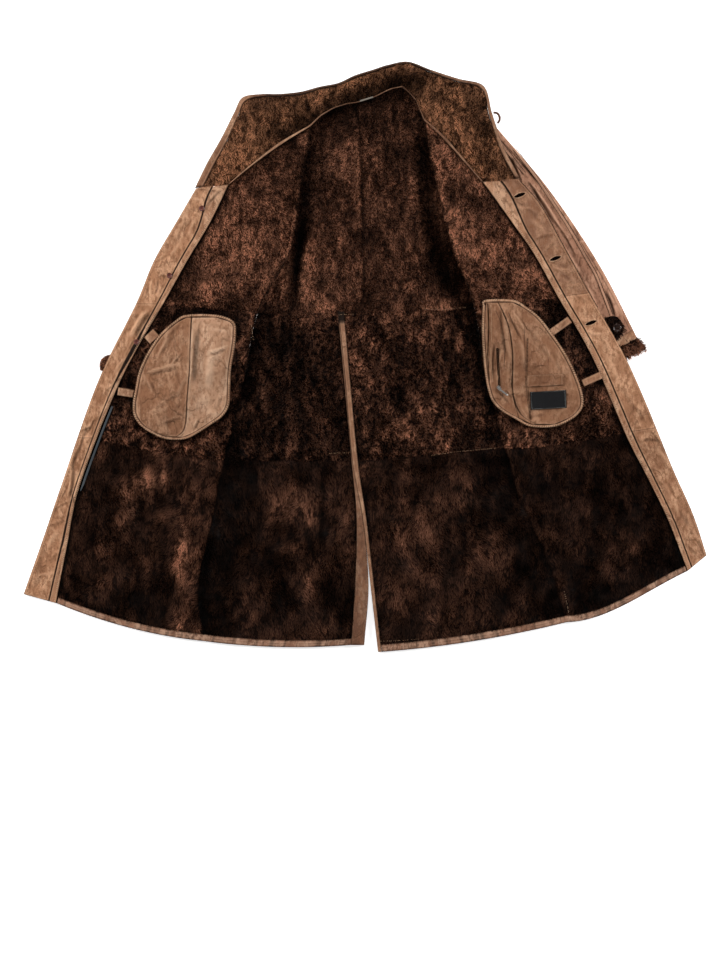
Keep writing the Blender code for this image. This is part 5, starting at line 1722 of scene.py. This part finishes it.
def barMesh(name, outline, low, high, *nodes):  # a small metal bar with eased edges
    made = bmesh.new()
    centre = np.mean(outline, axis=0)
    rings = []
    for share, up in ((0.86, 0.0), (1.0, 0.3), (1.0, 0.7), (0.82, 1.0)):
        z = low + (high - low) * up
        rings.append([made.verts.new((*(centre + (p - centre) * share - middle), z)) for p in outline])
    closedRings(made, rings)
    settle(newPiece(name, meshOf(made, name), ["metal"]), "metal", *nodes)


def rounded(x, y, length, width, turn):
    angles = np.linspace(0, 2 * pi, 24, endpoint=False)
    a = signedPower(np.cos(angles), 0.5) * length / 2
    b = signedPower(np.sin(angles), 0.5) * width / 2
    along, aside = axes(turn)
    return np.array((x, y)) + a[:, None] * along + b[:, None] * aside


slideHeight = float(topOfBag(np.array([(0.235, -0.054)]))[0]) + 0.0012
slider, puller = rounded(0.2345, -0.0540, 0.009, 0.0065, -0.9), rounded(0.2425, -0.0615, 0.019, 0.0032, -0.62)
barMesh("zip_slider", slider, slideHeight, slideHeight + 0.0032, "zip_slider")
barMesh("zip_puller", puller, slideHeight + 0.0016, slideHeight + 0.0030)

# Stay tape beside the left facing

tapeFront = frontPlan("left")


def tapePlan(across, at):  # it starts narrow
    return tapeFront(1.010 + 0.016 * across * np.minimum(1, (at - 2) * 4 + 0.3), at)


leatherPiece("stay_tape", "tape", "tape", tapePlan, edged(0, 1, 4, 0.15), rowStops(2.02, 3.48, 0.003),
             lambda p: lay(p) + layers["skin"] - 0.001, 0.0012, ["stay_tape"], wobble=0.0002, radius=0.0005,
             seed=69, edgeShadeWidth=0.0006, sheet=False)

# Buttons and buttonholes


buttonProfile = [  # share of the radius, share of the height, from the back's edge round to the dished face
    (0.90, 0.0), (1.0, 0.35), (0.98, 0.8), (0.88, 1.0), (0.74, 0.92), (0.62, 0.62), (0.3, 0.55),
]


def layButton(name, x, y, base, radius, height, finish):
    made = bmesh.new()
    angles = [2 * pi * k / 36 for k in range(36)]
    rings = []
    for share, up in buttonProfile:
        rings.append([made.verts.new((x + radius * share * cos(angle) - middle[0],
                                      y + radius * share * sin(angle) - middle[1],
                                      base + height * up)) for angle in angles])
    closedRings(made, rings)
    mesh = meshOf(made, name)
    shadeSmooth(mesh)
    settle(newPiece(name, mesh, [finish]), "button", name)
    reach = radius * 0.24
    for k in range(4):  # its holes, near-black marks of painted shade
        turn = pi / 4 + pi / 2 * k
        spot = np.array((x + reach * cos(turn), y + reach * sin(turn)))
        line = [spot - (0.0006, 0), spot + (0.0006, 0)]
        sew("slit", line, lambda p: ground(p) + base + height * 0.56, 1.2, 0, (radius * 260, radius * 240),
            lift=0.05, jitter=0.0)


counterButtons = [(-0.283, 0.258), (-0.339, 0.141), (-0.3965, 0.0255)]
for number, (x, y) in enumerate(counterButtons, 1):
    near = np.array([(x + 0.005 * cos(a), y + 0.005 * sin(a)) for a in np.linspace(0, 2 * pi, 8)])
    top = float(lay(near).max()) + layers["shorn"] + layers["bound"] + 3 * layers["gap"]
    layButton(f"counter_button_{number}", x, y, top, 0.0050, 0.0020, "counter")
x, y = rightSleeve(np.array([0.170]), np.array([0.891]))[0]
cuffTop = layers["sleeve"] + layers["leather"] + 2 * layers["gap"]
layButton("cuff_button", x, y, cuffTop, 0.0078, 0.0034, "button")

buttonholes = {  # x, y in mm and turn; the lip's rings as how far out and how high, in mm
    "places": ((270, 281, 20), (332, 171, 20), (394, 59, 20)), "long": 21.0, "wide": 6.4,
    "lip": ((2.6, -1.2), (1.7, 1.0), (0.9, 1.6), (0.1, 1.4), (-0.2, 0.9)),
}


def makeButtonholes():
    made = bmesh.new()
    angles = np.linspace(0, 2 * pi, 32, endpoint=False)
    for x, y, turn in buttonholes["places"]:
        centre = np.array((x, y)) * mm
        along, aside = axes(radians(turn))
        height = float(facingTops["right"](centre[None])[0])
        rings = []
        for grow, rise in buttonholes["lip"]:
            a = np.cos(angles) * (buttonholes["long"] / 2 + grow) * mm
            b = np.sin(angles) * np.abs(np.sin(angles)) ** 0.35 * (buttonholes["wide"] / 2 + grow * 0.9) * mm
            spots = centre + a[:, None] * along + b[:, None] * aside - middle
            rings.append([made.verts.new((*p, height + rise * mm)) for p in spots])
        # the opening is closed by a near-black face: painted shadow in the slit
        closedRings(made, rings).material_index = 1
        line = np.array([np.array(v.co[:2]) + middle for v in rings[2]])
        sew("paleThread", np.concatenate([line, line[:1]]), lambda p: ground(p) + height + 0.0014, 1.7, 90,
            (2.2, 0.5), seed=71)
    mesh = meshOf(made, "buttonholes")
    plainValues(mesh)
    shadeSmooth(mesh)
    indices = [polygon.material_index for polygon in mesh.polygons]
    piece = newPiece("buttonholes", mesh, ["binding", "slit"])
    mesh.polygons.foreach_set("material_index", indices)
    settle(piece, "binding")


makeButtonholes()

# Threads that show in the pile at the seams: line in mm, kind

threadRuns = [
    ([(-46, 74), (-30, 75), (-18, 75)], "thread"), ([(103, 84), (140, 84), (178, 87)], "thread"),
    ([(-62, -168), (-44, -167), (-26, -167)], "thread"), ([(115, -172), (160, -165), (228, -159)], "thread"),
    ([(349, -409), (353, -428), (357, -448)], "paleThread"), ([(-197, 57), (-195, 40), (-193, 27)], "thread"),
    ([(27, -496), (60, -495), (97, -492)], "thread"),
]


def onSeams(points):  # the back lies on the floor between the folds
    return np.where(np.abs(points[:, 0]) > 0.19, lay(points), 0) + layers["skin"] + 0.001


for number, (line, kind) in enumerate(threadRuns):
    line = np.array(line, float) * mm
    sew(kind, line, onSeams, 3.6, 8, (2.6, 0.6), lift=0.1, jitter=0.8, seed=81 + number)
line = np.array([(337, 112), (360, 113), (384, 118)]) * mm
sew("thread", line, facingTops["right"], 3.2, 0, (2.2, 0.5), lift=0.1)
sewAll()
print("sewn")

# Floor, lights and camera

bpy.data.objects.remove(strand)
view = {"centre": (-0.0089, -0.2154), "tall": 1.68, "lens": 100.0, "sensor": 36.0}
camera = newObject("camera", bpy.data.cameras.new("camera"))
camera.data.lens, camera.data.sensor_width, camera.data.clip_end = view["lens"], view["sensor"], 50
camera.location = (*view["centre"], view["tall"] * view["lens"] / view["sensor"])
bpy.context.scene.camera = camera

floorMesh = bpy.data.meshes.new("floor")
reach = 6.0
corners = [(-reach, -reach, 0), (reach, -reach, 0), (reach, reach, 0), (-reach, reach, 0)]
floorMesh.from_pydata(corners, [], [(0, 1, 2, 3)])
floor = newObject("floor", floorMesh)
floor.location.z = -0.0004
floorFinish, _, floorShader, _ = newFinish("floor", 0.9, Emission_Strength=0.6)
floorShader.inputs["Base Color"].default_value = (0.92, 0.92, 0.92, 1)
floorShader.inputs["Emission Color"].default_value = (1, 1, 1, 1)
floorMesh.materials.append(floorFinish)

lights = {  # place, size, power, colour
    "left": ((-2.4, 0.7, 1.35), 0.9, 66.0, (1.0, 0.97, 0.94)),
    "right": ((2.4, 0.5, 1.35), 0.9, 56.0, (1.0, 0.98, 0.96)),
    "top": ((0.1, 2.4, 2.0), 1.0, 24.0, (1.0, 0.98, 0.96)),
    "low": ((0.2, -2.6, 2.0), 1.6, 8.0, (1.0, 0.98, 0.96)),
}
for name, (place, size, power, colour) in lights.items():
    lamp = bpy.data.lights.new(name, "AREA")
    lamp.size, lamp.energy, lamp.color = size, power, colour
    made = newObject(name, lamp)
    made.location = place
    made.rotation_euler = (-Vector(place)).to_track_quat("-Z", "Y").to_euler()
world = bpy.data.worlds.new("studio")
world.use_nodes = True
background = world.node_tree.nodes["Background"]
background.inputs["Color"].default_value = (1, 1, 1, 1)
background.inputs["Strength"].default_value = 0.22
bpy.context.scene.world = world
bpy.context.scene.view_settings.view_transform = "Standard"

# The collar's loop of cord, on the node's own shape, and the three buttons that keep theirs

loopMesh = frame["nodes"]["collar_loop"].data.copy()
made = bmesh.new()
made.from_mesh(loopMesh)
bmesh.ops.remove_doubles(made, verts=made.verts[:], dist=0.00001)
for vertex in made.verts:
    vertex.co += vertex.normal * 0.0006
made.to_mesh(loopMesh)
made.free()
settle(newPiece("collar_cord", loopMesh, ["cord"]), "binding", "collar_loop")
for number in (1, 2, 3):
    materials = frame["nodes"][f"button_{number}"].data.materials
    materials.clear()
    materials.append(finishes["button"])

mostPerPiece, total = 60000, 0  # triangles
for piece in bpy.data.objects:
    if piece.type == "MESH":
        count = sum(len(p.vertices) - 2 for p in piece.data.polygons)
        total += count
        if count > mostPerPiece:
            print("triangles", piece.name, count)
print("triangles in all", total)
